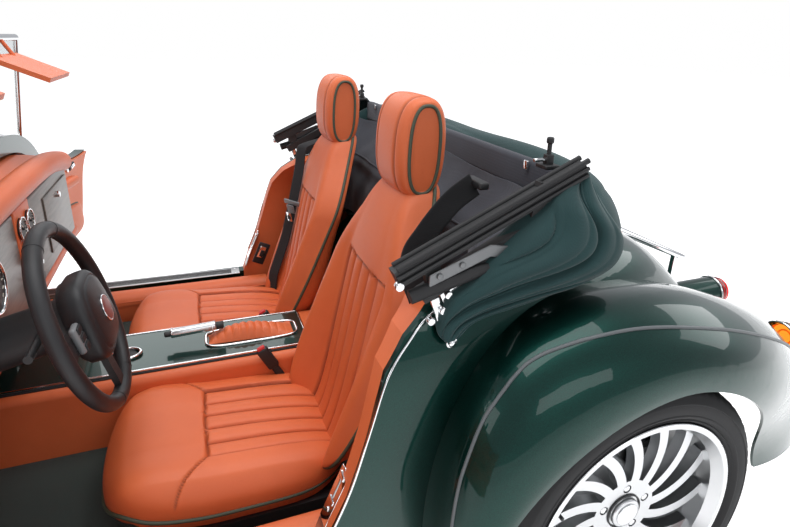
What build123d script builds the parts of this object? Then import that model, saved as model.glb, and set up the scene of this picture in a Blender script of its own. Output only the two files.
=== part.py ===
from build123d import *
import os
from math import cos, hypot, pi, radians, sin

os.makedirs("parts", exist_ok=True)

# Frame: +X forward, +Y to the left, +Z up, origin on the ground under the middle of the car.
# All sizes are in millimetres. The doors stand open, as they are stored. An x is written for the
# drawn wheelbase, and block, rod and the outlines move it with the real one.

# Overall layout
WHEELBASE = 2530.0
DRAWN_WHEELBASE = 2530.0
STRETCH = WHEELBASE / DRAWN_WHEELBASE
FRONT_AXLE_X = 1290.0
REAR_AXLE_X = FRONT_AXLE_X - DRAWN_WHEELBASE
NOSE_X = 1975.0
SEAT_GAP = 0.4  # clearance of a piece from the curved face that it sits on
PANEL_GAP = 5.0  # shut line round a moving panel

# Wheels and tyres
TYRE_RADIUS = 318.0
TYRE_WALL = 77.0
RIM_RADIUS = TYRE_RADIUS - TYRE_WALL
FRONT_TYRE_WIDTH = 225.0
REAR_TYRE_WIDTH = 255.0
RIM_FACE_Y = 813.0  # outer edge of every rim
RIM_WALL = 9.0
BEAD_HEIGHT = 12.0  # the rim's edge stands this far proud of the barrel
TYRE_FIT = 0.3
TYRE_BULGE = 6.0
SPOKE_COUNT = 14
SPOKE_WIDTH = 22.0
SPOKE_DEPTH = 24.0
SPOKE_SWEEP = 24.0  # degrees that a spoke curls between hub and rim
HUB_RADIUS = 76.0
HUB_FACE_DEPTH = 42.0  # the hub's face lies this far inside the rim's edge
HUB_DEPTH = 60.0
LUG_COUNT = 5
LUG_CIRCLE = 112.0
LUG_RADIUS = 10.0
LUG_DEPTH = 22.0
AXLE_RADIUS = 30.0
AXLE_FIT = 0.05
DISC_RADIUS = RIM_RADIUS - 81.0
DISC_THICKNESS = 26.0
DISC_INSET = 150.0  # from the rim's face to the disc's outer face

# Steering
KINGPIN_Y = 590.0
KNUCKLE_HALF = 28.0
KNUCKLE_OUTER_Y = 612.0
STEERING_WHEEL_X = -256.0
STEERING_WHEEL_Y = 350.0
STEERING_WHEEL_Z = 727.0
STEERING_WHEEL_TILT = 15.0
STEERING_WHEEL_RADIUS = 172.0
STEERING_RIM_RADIUS = 15.0
STEERING_BOSS_RADIUS = 70.0
STEERING_BOSS_DEPTH = 46.0
COLUMN_RADIUS = 24.0
COLUMN_GAP = 6.0
SPINDLE_RADIUS = 12.0
KINGPIN_RADIUS = 8.0

# Body: one smooth form, cut into panels. Each station is x, half width, bottom, top and squareness.
BODY_STATIONS = (
    (NOSE_X, 165.0, 400.0, 770.0, 2.8),
    (1900.0, 185.0, 370.0, 808.0, 2.9),
    (1780.0, 208.0, 345.0, 838.0, 3.0),
    (1560.0, 250.0, 310.0, 868.0, 3.0),
    (1200.0, 335.0, 275.0, 906.0, 3.0),
    (800.0, 445.0, 245.0, 944.0, 3.1),
    (420.0, 560.0, 235.0, 974.0, 3.3),
    (100.0, 645.0, 230.0, 982.0, 3.7),
    (-300.0, 700.0, 230.0, 950.0, 4.6),
    (-700.0, 712.0, 230.0, 890.0, 6.2),
    (-1000.0, 690.0, 230.0, 858.0, 8.0),
    (-1300.0, 625.0, 235.0, 840.0, 8.0),
    (-1600.0, 540.0, 260.0, 700.0, 7.0),
    (-1880.0, 430.0, 330.0, 490.0, 5.0),
)
CABIN_WALL = 45.0
PANEL_WALL = 8.0
COWL_WALL = 22.0

# Panel lines
COWL_X = 1700.0  # rear edge of the radiator cowl
FIREWALL_X = 330.0  # front face of the firewall
FIREWALL_WALL = 25.0
BONNET_LINE_FRONT = 690.0
BONNET_LINE_REAR = 690.0
BONNET_STRIP = 30.0
BONNET_HINGE_X = (480.0, 1560.0)
BONNET_HINGE_PIN = 3.0
BONNET_HINGE_EYE = 5.5
BONNET_HINGE_RISE = 7.0  # pin above the bonnet's skin
BONNET_HINGE_HALF = 14.0
DOOR_FRONT_X = 150.0
SCUTTLE_REAR_X = -30.0
DOOR_REAR_EDGE = ((-612.0, 355.0), (-637.0, 427.0), (-666.0, 490.0), (-700.0, 594.0), (-719.0, 660.0))
DOOR_TOP_EDGE = ((-735.0, 712.0), (-600.0, 704.0), (-350.0, 738.0), (-110.0, 800.0), (60.0, 845.0))
COAMING_EDGE = ((-737.0, 712.0), (-777.0, 762.0), (-829.0, 800.0), (-900.0, 818.0), (-960.0, 824.0))
SILL_TOP = 355.0
SCUTTLE_OVERHANG_Z = 852.0
DOOR_OPEN = 80.0
DOOR_HINGE_OUT = 14.0
DOOR_HINGE_AHEAD = 4.0
DOOR_HINGE_HEIGHTS = (400.0, 560.0)
HINGE_PIN = 5.0
HINGE_FIT = 0.05
COCKPIT_REAR_X = -1200.0
OPENING_HALF = 560.0
FLOOR_REAR_X = -1140.0
FLOOR_BOTTOM = 231.0
FLOOR_THICKNESS = 22.0
TRIM_THICKNESS = 10.0
DASH_GAP = 6.0  # from the dash to the shut door

# Wings. Each section is a direction (degrees from +X) about the axle, or a station behind it.
WING_WALL = 6.0
LIP_GAP = 27.0  # from the tyre to the wing's lip
WELL_GAP = 42.0  # from the tyre to the inner arch
LINER_WALL = 12.0
WING_OUTER_Y = 860.0

# Chassis
RAIL_Y = 345.0
RAIL_WIDTH = 50.0
RAIL_BOTTOM = 140.0
RAIL_TOP = 231.0
PIPE_Y = 180.0
PIPE_Z = 140.0

# Cockpit
TUNNEL_HALF = 120.0
TUNNEL_TOP = 432.0
TUNNEL_REAR_X = -900.0
CONSOLE_HALF = 95.0
SEAT_Y = 320.0
TRIM_PANEL_REAR_X = -1160.0

# Windscreen: foot and top of its centre line in side view, and half its width
SCREEN_FOOT = (22.0, 820.0)
SCREEN_TOP = (-30.0, 1210.0)
SCREEN_HALF = 535.0
SCREEN_BAR = 9.0
GLASS_HALF = 2.5
SCREEN_SEAL = 22.0  # height of the lower bar above the scuttle

# Folded roof
HOOD_RAIL_FRONT = (-760.0, 668.0, 870.0)
HOOD_RAIL_REAR = (-1105.0, 668.0, 1030.0)
HOOD_RAIL_WIDTH = 26.0
HOOD_RAIL_HEIGHT = 30.0

# Luggage rack
RACK_MIDDLE_X = -1645.0
RACK_MIDDLE_Z = 712.0
RACK_SLOPE = 23.0
RACK_LENGTH = 466.0
RACK_WIDTH = 620.0
RACK_CORNER = 70.0
RACK_TUBE = 9.0

# Lamps: middle of the lens's rim
STOP_LAMP = (-1770.0, 450.0, 598.0)
TURN_LAMP = (-1790.0, 650.0, 557.0)
TAIL_LAMP_RADIUS = 41.0
HEADLAMP = (1690.0, 430.0, 745.0)
HEADLAMP_RADIUS = 88.0


def placed(point):
    """A drawn point on a car of the real wheelbase."""
    x, y, z = point
    return Vector(x * STRETCH, y, z)


def block(x0, x1, y0, y1, z0, z1):
    """A box between two drawn corners."""
    size_x = (x1 - x0) * STRETCH
    return Pos((x0 + x1) / 2 * STRETCH, (y0 + y1) / 2, (z0 + z1) / 2) * Box(size_x, y1 - y0, z1 - z0)


def rod(start, end, radius):
    """A round bar from one drawn point to another."""
    axis = placed(end) - placed(start)
    return Plane(origin=placed(start), z_dir=axis) * Cylinder(
        radius, axis.length, align=(Align.CENTER, Align.CENTER, Align.MIN)
    )


def bar(start, end, width, height):
    """A square bar from one drawn point to another, with its width across the car."""
    axis = placed(end) - placed(start)
    plane = Plane(origin=placed(start), x_dir=(0, 1, 0), z_dir=axis)
    return plane * Box(width, height, axis.length, align=(Align.CENTER, Align.CENTER, Align.MIN))


def barrel_at(x, z, radius):
    """A cylinder right across the car about a drawn x, such as a wheel well."""
    return Pos(x * STRETCH, 0, z) * Rot(90, 0, 0) * Cylinder(radius, 2 * FAR)


def other_side(shape):
    """The same piece on the right-hand side."""
    return mirror(shape, about=Plane.XZ)


def one_solid(shape):
    """The largest solid of a cut or joined shape, so that no crumb is kept."""
    return max(shape.solids(), key=lambda s: s.volume)


def body_section(station, side_offset, top_offset, drop):
    """One closed outline of the body: a squared arch on a flat base."""
    x, half_width, bottom, top, squareness = station
    width = half_width + side_offset
    height = top + top_offset - (bottom - drop)
    count = 16
    x = x * STRETCH
    points = [(x, width, bottom - drop)]
    for i in range(1, count):
        turn = pi * i / count
        across, up = cos(turn), sin(turn)
        reach = (abs(across) ** squareness + up**squareness) ** (-1 / squareness)
        y = 0.0 if 2 * i == count else width * reach * across
        points.append((x, y, bottom - drop + height * reach * up))
    points.append((x, -width, bottom - drop))
    arch = Edge.make_spline([Vector(*p) for p in points], tangents=[Vector(0, 0, 1), Vector(0, 0, -1)])
    base = Edge.make_line(points[-1], points[0])
    return Wire([arch, base])


def body_form(offset=0.0, drop=0.0):
    """The whole body as a solid, grown or shrunk by an offset."""
    return Solid.make_loft([body_section(s, offset, offset, drop) for s in BODY_STATIONS])


OUTER = body_form()
CLEAR = body_form(SEAT_GAP)
CABIN = body_form(-CABIN_WALL, 20.0)
PANEL = body_form(-PANEL_WALL, 20.0)
COWL = body_form(-COWL_WALL, -COWL_WALL)
SCREEN_BASE = body_form(SCREEN_SEAL)
FAR = 1200.0  # beyond every side of the car


def slab(x0, x1):
    """Everything between two cross planes."""
    return block(x0, x1, -FAR, FAR, 0, FAR * 1.2)


def side_prism(points, y0, y1):
    """A side view outline, pulled across from y0 to y1."""
    outline = Polyline(*[(x * STRETCH, z) for x, z in points], close=True)
    face = make_face(Plane.XZ * outline)
    return Pos(0, y1, 0) * extrude(face, y1 - y0, dir=(0, -1, 0))


def bonnet_line(x):
    """Height of the bonnet's lower edge."""
    share = (x - FIREWALL_X) / (COWL_X - FIREWALL_X)
    return BONNET_LINE_REAR + (BONNET_LINE_FRONT - BONNET_LINE_REAR) * share


def door_shape(gap):
    """The left door's side view as a prism, less a gap all round."""
    front = DOOR_FRONT_X * STRETCH - gap
    back_top = placed((DOOR_TOP_EDGE[0][0] + gap, 0, DOOR_TOP_EDGE[0][1] - gap))
    top = Edge.make_spline([back_top] + [placed((x, 0, z - gap)) for x, z in DOOR_TOP_EDGE[1:]])
    front_top = Vector(front, 0, (top @ 1).Z)
    corner = Vector(front, 0, SILL_TOP + gap)
    foot = placed((DOOR_REAR_EDGE[0][0] + gap, 0, SILL_TOP + gap))
    back = Edge.make_spline([foot] + [placed((x + gap, 0, z)) for x, z in DOOR_REAR_EDGE[1:]] + [back_top])
    edges = [top, Edge.make_line(top @ 1, front_top), Edge.make_line(front_top, corner)]
    edges += [Edge.make_line(corner, foot), back]
    return Pos(0, 300, 0) * extrude(Face(Wire(edges)), 600, dir=(0, 1, 0))


def scuttle():
    """Panel between bonnet and doors, with the firewall."""
    ring = slab(DOOR_FRONT_X, FIREWALL_X) + block(SCUTTLE_REAR_X, DOOR_FRONT_X, -FAR, FAR, SCUTTLE_OVERHANG_Z, FAR)
    ring = (OUTER & ring) - CABIN
    wall = OUTER & slab(FIREWALL_X - FIREWALL_WALL, FIREWALL_X)
    panel = ring + wall
    for bracket in hinge_brackets():
        panel += bracket + other_side(bracket)
    return one_solid(panel)


def front_body():
    """Fixed engine bay sides below the bonnet."""
    below = side_prism(
        [
            (FIREWALL_X, 0),
            (COWL_X, 0),
            (COWL_X, bonnet_line(COWL_X)),
            (FIREWALL_X, bonnet_line(FIREWALL_X)),
        ],
        -FAR,
        FAR,
    )
    return [s for s in ((OUTER & below) - PANEL).solids()]


def bonnet_hinge_planes():
    """Frames of the bonnet's two left hinges, x along their common pin line."""
    points = []
    for x in BONNET_HINGE_X:
        y = BONNET_STRIP / 2 + PANEL_GAP
        skin = (OUTER & block(x - 1, x + 1, y - 1, y + 1, 700, FAR)).bounding_box().max.Z
        points.append(Vector(placed((x, y, skin + BONNET_HINGE_RISE))))
    along = points[1] - points[0]
    up = along.cross(Vector(0, 1, 0))
    return [Plane(origin=point, x_dir=along, z_dir=up) for point in points]


def bonnet_hinge_piece(frame, x0, x1, y0, y1, z0, z1):
    """A box in the hinge's own frame, between two places on each axis."""
    middle = ((x0 + x1) / 2, (y0 + y1) / 2, (z0 + z1) / 2)
    return frame.location * Pos(*middle) * Box(x1 - x0, y1 - y0, z1 - z0)


def bonnet_hinge_rod(frame, half_length, radius):
    """A round bar on the hinge's pin line."""
    return frame.location * Rot(0, 90, 0) * Cylinder(radius, half_length * 2)


def bonnet_eyes():
    """Bored eyes that the left bonnet half turns on."""
    eyes = []
    for frame in bonnet_hinge_planes():
        half, sink = BONNET_HINGE_HALF, -BONNET_HINGE_RISE - PANEL_WALL / 2
        eye = bonnet_hinge_rod(frame, half, BONNET_HINGE_EYE)
        eye += bonnet_hinge_piece(frame, -half, half, 1, 11, sink, 0)
        eyes.append(eye - bonnet_hinge_rod(frame, half * 2, BONNET_HINGE_PIN + HINGE_FIT))
    return eyes


def bonnet_pins():
    """Pins on the centre strip for the left half, each between two lugs."""
    pins = []
    for frame in bonnet_hinge_planes():
        inner, outer = BONNET_HINGE_HALF + 4, BONNET_HINGE_HALF + 10
        sink, low = -BONNET_HINGE_RISE - 3, 2 - BONNET_HINGE_RISE
        pin = bonnet_hinge_rod(frame, outer, BONNET_HINGE_PIN)
        for x0, x1 in ((-outer, -inner), (inner, outer)):
            pin += bonnet_hinge_piece(frame, x0, x1, -12, 4, low, 4)
            pin += bonnet_hinge_piece(frame, x0, x1, -12, -PANEL_GAP - 1, sink, 0)
        pins.append(pin)
    return pins


def bonnet_left():
    """Left half of the bonnet, hinged beside the centre strip."""
    rear, front = FIREWALL_X + PANEL_GAP, COWL_X - PANEL_GAP
    above = side_prism(
        [(rear, bonnet_line(rear) + PANEL_GAP), (front, bonnet_line(front) + PANEL_GAP), (front, FAR), (rear, FAR)],
        BONNET_STRIP / 2 + PANEL_GAP,
        FAR,
    )
    panel = (OUTER & above) - PANEL
    for eye in bonnet_eyes():
        panel += eye
    return one_solid(panel)


def radiator_cowl():
    """Bright surround of the grille, with the strip that the bonnet hinges on."""
    shell = (OUTER & slab(COWL_X, NOSE_X + 1)) - COWL
    strip = (OUTER & block(FIREWALL_X, COWL_X, -BONNET_STRIP / 2, BONNET_STRIP / 2, 700, FAR)) - PANEL
    for pin in bonnet_pins():
        strip += pin + other_side(pin)
    return one_solid(shell + strip)


def grille():
    """Upright bars behind the cowl's mouth."""
    bars = (COWL & slab(NOSE_X - 62, NOSE_X - 52)) - block(NOSE_X - 70, NOSE_X, -95, 95, 425, 685)
    for i in range(11):
        y = -90 + 18 * i
        bars += block(NOSE_X - 60, NOSE_X - 44, y - 3, y + 3, 412, 698)
    return one_solid(bars)


def behind_door():
    """Everything behind the door opening's rear edge, as a prism."""
    outline = [(-FAR * 2, 0), (DOOR_REAR_EDGE[0][0], 0)]
    outline += list(DOOR_REAR_EDGE)
    outline += list(COAMING_EDGE)
    outline += [(COAMING_EDGE[-1][0], FAR), (-FAR * 2, FAR)]
    return side_prism(outline, -FAR, FAR)


def rear_body():
    """Quarter panels, deck and tail, with the inner wheel arches."""
    behind = behind_door()
    shell = OUTER & behind
    liner = barrel_at(REAR_AXLE_X, TYRE_RADIUS, TYRE_RADIUS + WELL_GAP + LINER_WALL)
    inboard = block(-FAR * 2, FAR, -505, 505, 0, FAR)
    cavity = (CABIN & behind) - (liner - inboard)
    well = barrel_at(REAR_AXLE_X, TYRE_RADIUS, TYRE_RADIUS + WELL_GAP)
    arch = well - block(-FAR * 2, FAR, -515, 515, -FAR, FAR)
    opening = block(COCKPIT_REAR_X, 0, -OPENING_HALF, OPENING_HALF, 600, FAR)
    half_shaft = block(REAR_AXLE_X - 130, REAR_AXLE_X + 75, -520, 520, TYRE_RADIUS - 118, TYRE_RADIUS + 112)
    space = trim_space_left()
    return one_solid(shell - cavity - arch - opening - half_shaft - space - other_side(space))


def trim_space_left():
    """Room inside the left quarter panel's skin, round the wheel arch."""
    region = block(TRIM_PANEL_REAR_X, DOOR_REAR_EDGE[0][0] + 1, OPENING_HALF - 1, FAR, SILL_TOP - 60, FAR)
    arch = barrel_at(REAR_AXLE_X, TYRE_RADIUS, TYRE_RADIUS + WELL_GAP + LINER_WALL + 1)
    return one_solid((PANEL & (region & behind_door())) - arch)


def body_trim_left():
    """Leather panel that fills this room up to the coaming and the door's edge."""
    return one_solid(trim_space_left() - CABIN)


def sill_left():
    """Body side under the door."""
    side = block(DOOR_REAR_EDGE[0][0], DOOR_FRONT_X, 300, FAR, 0, SILL_TOP) - CABIN
    return one_solid(side & OUTER)


def door_left_closed():
    """Left door skin and frame, shut."""
    inner = body_form(-CABIN_WALL + TRIM_THICKNESS, 20.0)
    door = (OUTER & door_shape(PANEL_GAP)) - inner
    for eye in hinge_eyes():
        door += eye
    return one_solid(door)


def door_trim_left_closed():
    """Leather card on the inside of the left door, shut."""
    inner = body_form(-CABIN_WALL + TRIM_THICKNESS - SEAT_GAP, 20.0)
    card = (inner & door_shape(PANEL_GAP + 6)) - CABIN
    for eye in hinge_eyes():
        card -= eye + Pos(0, -SEAT_GAP, 0) * eye
    return one_solid(card)


def half_width_at(x):
    """Half width of the body at a drawn x, straight between two stations."""
    for ahead, behind in zip(BODY_STATIONS, BODY_STATIONS[1:]):
        if behind[0] <= x <= ahead[0]:
            share = (x - behind[0]) / (ahead[0] - behind[0])
            return behind[1] + share * (ahead[1] - behind[1])
    return BODY_STATIONS[-1][1]


def hinge_point(z):
    """A point on the left door's hinge line, just outside the skin."""
    x = DOOR_FRONT_X + DOOR_HINGE_AHEAD
    return (x, half_width_at(x) + DOOR_HINGE_OUT, z)


def hinge_eyes():
    """Eyes and arms that carry the shut left door on the hinge pins."""
    eyes = []
    for z in DOOR_HINGE_HEIGHTS:
        x, y, _ = hinge_point(z)
        eye = rod((x, y, z - 20), (x, y, z + 20), 11) + rod((x, y, z), (x - 38, y - 40, z), 4.5)
        eyes.append(eye - rod((x, y, z - 30), (x, y, z + 30), HINGE_PIN + HINGE_FIT))
    return eyes


def hinge_brackets():
    """Pins and ears on the scuttle, for the left door."""
    brackets = []
    for z in DOOR_HINGE_HEIGHTS:
        x, y, _ = hinge_point(z)
        bracket = rod((x, y, z - 30), (x, y, z + 30), HINGE_PIN)
        for side in (-1, 1):
            height = z + side * 25.5
            ear = rod((x, y, height - 4), (x, y, height + 4), 9)
            ear += block(x, x + 30, y - 40, y + 6, height - 4, height + 4)
            bracket += ear
        brackets.append(bracket)
    return brackets


def swing_open(shape):
    """Turns the left door from shut to its stored, open position."""
    axis = Axis(tuple(placed(hinge_point(0))), (0, 0, 1))
    return shape.rotate(axis, -DOOR_OPEN)


def wing_band(plane, outline, wall):
    """One closed section of a wing: an outer curve and the same curve moved inwards."""
    outer = outline
    inner = []
    for i, (u, v) in enumerate(outline):
        before = outline[max(i - 1, 0)]
        after = outline[min(i + 1, len(outline) - 1)]
        du = after[0] - before[0]
        dv = after[1] - before[1]
        size = hypot(du, dv)
        inner.append((u + wall * dv / size, v - wall * du / size))
    top = Edge.make_spline([plane.from_local_coords((u, v, 0)) for u, v in outer])
    under = Edge.make_spline([plane.from_local_coords((u, v, 0)) for u, v in reversed(inner)])
    first = Edge.make_line(top @ 1, under @ 0)
    last = Edge.make_line(under @ 1, top @ 0)
    return Wire([top, first, under, last])


def wing_form(sections):
    """Lofts a wing through sections of (base x, base z, direction, inner y, inner r, crown r, outer y, lip r)."""
    wires = []
    for base_x, base_z, turn, inner_y, inner_r, crown_r, outer_y, lip_r in sections:
        up = Vector(cos(radians(turn)), 0, sin(radians(turn)))
        plane = Plane(origin=placed((base_x, 0, base_z)), x_dir=(0, 1, 0), z_dir=Vector(0, 1, 0).cross(up))
        wide = outer_y - inner_y
        outline = [
            (inner_y, inner_r),
            (inner_y + 0.22 * wide, inner_r + 0.6 * (crown_r - inner_r)),
            (inner_y + 0.48 * wide, crown_r),
            (inner_y + 0.74 * wide, crown_r - 0.14 * (crown_r - lip_r)),
            (inner_y + 0.93 * wide, crown_r - 0.46 * (crown_r - lip_r)),
            (outer_y, lip_r),
        ]
        wires.append(wing_band(plane, outline, WING_WALL))
    return Solid.make_loft(wires)


def round_section(axle_x, turn, inner_y, inner_gap, crown_gap, outer_y, lip_gap):
    """A wing section at an angle about the axle, with its heights measured from the tyre."""
    r = TYRE_RADIUS
    return (axle_x, r, turn, inner_y, r + inner_gap, r + crown_gap, outer_y, r + lip_gap)


def upright_section(x, inner_y, inner_z, crown_z, outer_y, lip_z):
    """A wing section across the car, with its heights measured from the ground."""
    return (x, 0, 90, inner_y, inner_z, crown_z, outer_y, lip_z)


def front_wing_left():
    """Swept wing from the nose over the wheel and back to the running board."""
    x = FRONT_AXLE_X
    sections = [
        round_section(x, -12, 170, 97, 122, 830, LIP_GAP),
        round_section(x, 15, 170, 107, 132, 845, LIP_GAP),
        round_section(x, 42, 190, 77, 127, 850, LIP_GAP),
        round_section(x, 68, 230, 22, 112, 850, LIP_GAP),
        round_section(x, 90, 285, -28, 102, 850, LIP_GAP),
        upright_section(x - 190, 330, 578, 728, 848, 588),
        upright_section(x - 420, 390, 528, 683, 842, 438),
        upright_section(x - 680, 460, 438, 598, 830, 298),
        upright_section(x - 960, 530, 338, 488, 815, 243),
        upright_section(x - 1100, 580, 285, 395, 805, 236),
    ]
    return one_solid(wing_form(sections) - CLEAR - OUTER)


def rear_wing_left():
    """Round wing over the rear wheel, which runs out in a pointed skirt behind it."""
    x = REAR_AXLE_X
    sections = [
        round_section(x, -14, 660, 107, 107, 846, 80),
        round_section(x, 6, 655, 109, 118, 858, 68),
        round_section(x, 33, 650, 150, 156, WING_OUTER_Y, 48),
        round_section(x, 58, 640, 179, 187, WING_OUTER_Y, 31),
        round_section(x, 74, 615, 158, 174, WING_OUTER_Y, 28),
        round_section(x, 92, 590, 130, 156, WING_OUTER_Y, LIP_GAP),
        round_section(x, 114, 540, 125, 156, 858, 21),
        round_section(x, 134, 500, 164, 194, 842, 20),
        round_section(x, 152, 455, 242, 270, 812, 26),
        round_section(x, 167, 430, 322, 342, 786, 34),
        round_section(x, 180, 425, 350, 372, 776, 60),
    ]
    return one_solid(wing_form(sections) - CLEAR - OUTER)


HUB_END = RIM_FACE_Y - HUB_FACE_DEPTH


def rim_left(x, width):
    """Left wheel: barrel, swept spokes, hub with lugs, and the brake disc behind."""
    inner_y = RIM_FACE_Y - width + 20
    barrel_radius = RIM_RADIUS - BEAD_HEIGHT
    wall = barrel_radius - RIM_WALL
    outline = Polyline(
        (wall, inner_y),
        (RIM_RADIUS, inner_y),
        (RIM_RADIUS, inner_y + 8),
        (barrel_radius, inner_y + 14),
        (barrel_radius, RIM_FACE_Y - 16),
        (RIM_RADIUS, RIM_FACE_Y - 9),
        (RIM_RADIUS, RIM_FACE_Y),
        (RIM_RADIUS - 12, RIM_FACE_Y),
        (wall - 4, RIM_FACE_Y - 22),
        (wall, RIM_FACE_Y - 60),
        close=True,
    )
    barrel = revolve(make_face(Plane.XY * outline), Axis.Y)
    x = x * STRETCH
    wheel = Pos(x, 0, TYRE_RADIUS) * barrel
    disc_y = RIM_FACE_Y - DISC_INSET
    hub = Plane(origin=(x, disc_y - DISC_THICKNESS, TYRE_RADIUS), z_dir=(0, 1, 0)) * Cylinder(
        HUB_RADIUS, HUB_END - disc_y + DISC_THICKNESS, align=(Align.CENTER, Align.CENTER, Align.MIN)
    )
    disc = Plane(origin=(x, disc_y - DISC_THICKNESS, TYRE_RADIUS), z_dir=(0, 1, 0)) * Cylinder(
        DISC_RADIUS, DISC_THICKNESS, align=(Align.CENTER, Align.CENTER, Align.MIN)
    )
    wheel += hub + disc
    spoke = spoke_left(x)
    for i in range(SPOKE_COUNT):
        wheel += spoke.rotate(Axis((x, 0, TYRE_RADIUS), (0, 1, 0)), 360.0 * i / SPOKE_COUNT)
    for i in range(LUG_COUNT):
        turn = radians(360.0 * i / LUG_COUNT + 18)
        spot = (x + LUG_CIRCLE / 2 * cos(turn), HUB_END, TYRE_RADIUS + LUG_CIRCLE / 2 * sin(turn))
        wheel -= Plane(origin=spot, z_dir=(0, -1, 0)) * Cylinder(
            LUG_RADIUS, LUG_DEPTH, align=(Align.CENTER, Align.CENTER, Align.MIN)
        )
    bore = Plane(origin=(x, 0, TYRE_RADIUS), z_dir=(0, 1, 0)) * Cylinder(
        AXLE_RADIUS, HUB_END - 15, align=(Align.CENTER, Align.CENTER, Align.MIN)
    )
    return one_solid(wheel - bore)


def spoke_left(x):
    """One curled spoke from the hub to the barrel."""
    start = HUB_RADIUS - 8
    end = RIM_RADIUS - BEAD_HEIGHT - RIM_WALL / 2
    middle = (start + end) / 2
    sweep = radians(SPOKE_SWEEP)
    path = ThreePointArc(
        (start, 0), (middle * cos(sweep * 0.35), middle * sin(sweep * 0.35)), (end * cos(sweep), end * sin(sweep))
    )
    lane = trace(path, line_width=SPOKE_WIDTH)
    body = extrude(lane, SPOKE_DEPTH)
    inside = Cylinder(end, 100)
    return Plane(origin=(x, HUB_END - SPOKE_DEPTH, TYRE_RADIUS), z_dir=(0, 1, 0), x_dir=(1, 0, 0)) * (body & inside)


def tyre_left(x, width):
    """Left tyre: a rounded ring on the rim's barrel."""
    barrel_radius = RIM_RADIUS - BEAD_HEIGHT + TYRE_FIT
    outer_y = RIM_FACE_Y - 9 - TYRE_FIT
    inner_y = RIM_FACE_Y - width + 20 + 8 + TYRE_FIT
    bulge_out = RIM_FACE_Y + TYRE_BULGE
    bulge_in = RIM_FACE_Y - width - TYRE_BULGE + 20
    shoulder = 20.0
    outline = Polyline(
        (barrel_radius, inner_y + 6),
        (RIM_RADIUS + 1, inner_y),
        (RIM_RADIUS + 8, bulge_in + 4),
        (RIM_RADIUS + 35, bulge_in),
        (TYRE_RADIUS - shoulder, bulge_in + 4),
        (TYRE_RADIUS - 4, bulge_in + shoulder),
        (TYRE_RADIUS, bulge_in + 2 * shoulder),
        (TYRE_RADIUS, bulge_out - 2 * shoulder),
        (TYRE_RADIUS - 4, bulge_out - shoulder),
        (TYRE_RADIUS - shoulder, bulge_out - 4),
        (RIM_RADIUS + 35, bulge_out),
        (RIM_RADIUS + 8, bulge_out - 4),
        (RIM_RADIUS + 1, outer_y),
        (barrel_radius, outer_y - 7),
        close=True,
    )
    return Pos(x * STRETCH, 0, TYRE_RADIUS) * revolve(make_face(Plane.XY * outline), Axis.Y)


def knuckle_left():
    """Front upright with its stub axle, steering arm and brake caliper."""
    x, z = FRONT_AXLE_X, TYRE_RADIUS
    upright = block(x - KNUCKLE_HALF, x + KNUCKLE_HALF, KINGPIN_Y - 22, KNUCKLE_OUTER_Y, z - 95, z + 105)
    stub = rod((x, KINGPIN_Y, z), (x, HUB_END - 20, z), AXLE_RADIUS - AXLE_FIT)
    arm = block(x - 120, x, KINGPIN_Y - 20, KINGPIN_Y, z - 90, z - 70)
    knuckle = upright + stub + arm + caliper(x, KNUCKLE_OUTER_Y - 10)
    for low, high in ((z - 96, z - 73), (z + 87, z + 106)):
        knuckle -= rod((x, KINGPIN_Y, low), (x, KINGPIN_Y, high), KINGPIN_RADIUS + AXLE_FIT)
    return one_solid(knuckle)


def caliper(x, inner_y):
    """Brake caliper that straddles the rear edge of the disc."""
    disc_y = RIM_FACE_Y - DISC_INSET
    z = TYRE_RADIUS
    jaw = block(x - DISC_RADIUS - 20, x - 95, inner_y, disc_y + 22, z - 55, z + 55)
    slot = block(x - DISC_RADIUS - 4, x, disc_y - DISC_THICKNESS - 4, disc_y + 4, z - 80, z + 80)
    bridge = block(x - 110, x, inner_y, inner_y + 14, z - 30, z + 30)
    return (jaw - slot) + bridge


def front_suspension():
    """Wishbones and their towers on both sides, with the cross tube and the steering rack."""
    x, z = FRONT_AXLE_X, TYRE_RADIUS
    inner = RAIL_Y + RAIL_WIDTH / 2
    tower = block(x - 60, x + 60, RAIL_Y - 10, RAIL_Y + RAIL_WIDTH / 2, RAIL_TOP, z + 130)
    pieces = tower
    for height in (z - 108, z + 119):
        for side in (-60, 60):
            pieces += rod((x + side, inner - 4, height), (x, KINGPIN_Y - 8, height), 11)
        pieces += block(x - 20, x + 20, KINGPIN_Y - 22, KINGPIN_Y + 12, height - 12, height + 12)
    spring = rod((x, RAIL_Y + 60, z - 100), (x, RAIL_Y + 20, z + 110), 32)
    pieces += spring
    pieces += rod((x, KINGPIN_Y, z - 118), (x, KINGPIN_Y, z - 78), KINGPIN_RADIUS)
    pieces += rod((x, KINGPIN_Y, z + 92), (x, KINGPIN_Y, z + 129), KINGPIN_RADIUS)
    left = one_solid(pieces)
    return [left, other_side(left)]


def chassis_frame():
    """Two rails with cross members."""
    frame = None
    for side in (-1, 1):
        y = side * RAIL_Y
        rail = block(-1700, 1700, y - RAIL_WIDTH / 2, y + RAIL_WIDTH / 2, RAIL_BOTTOM, RAIL_TOP)
        frame = rail if frame is None else frame + rail
    for x in (-1660, -900, -100, 500, 1290, 1660):
        frame += block(x - 30, x + 30, -RAIL_Y, RAIL_Y, RAIL_TOP - 56, RAIL_TOP - 10)
    return one_solid(frame)


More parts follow.
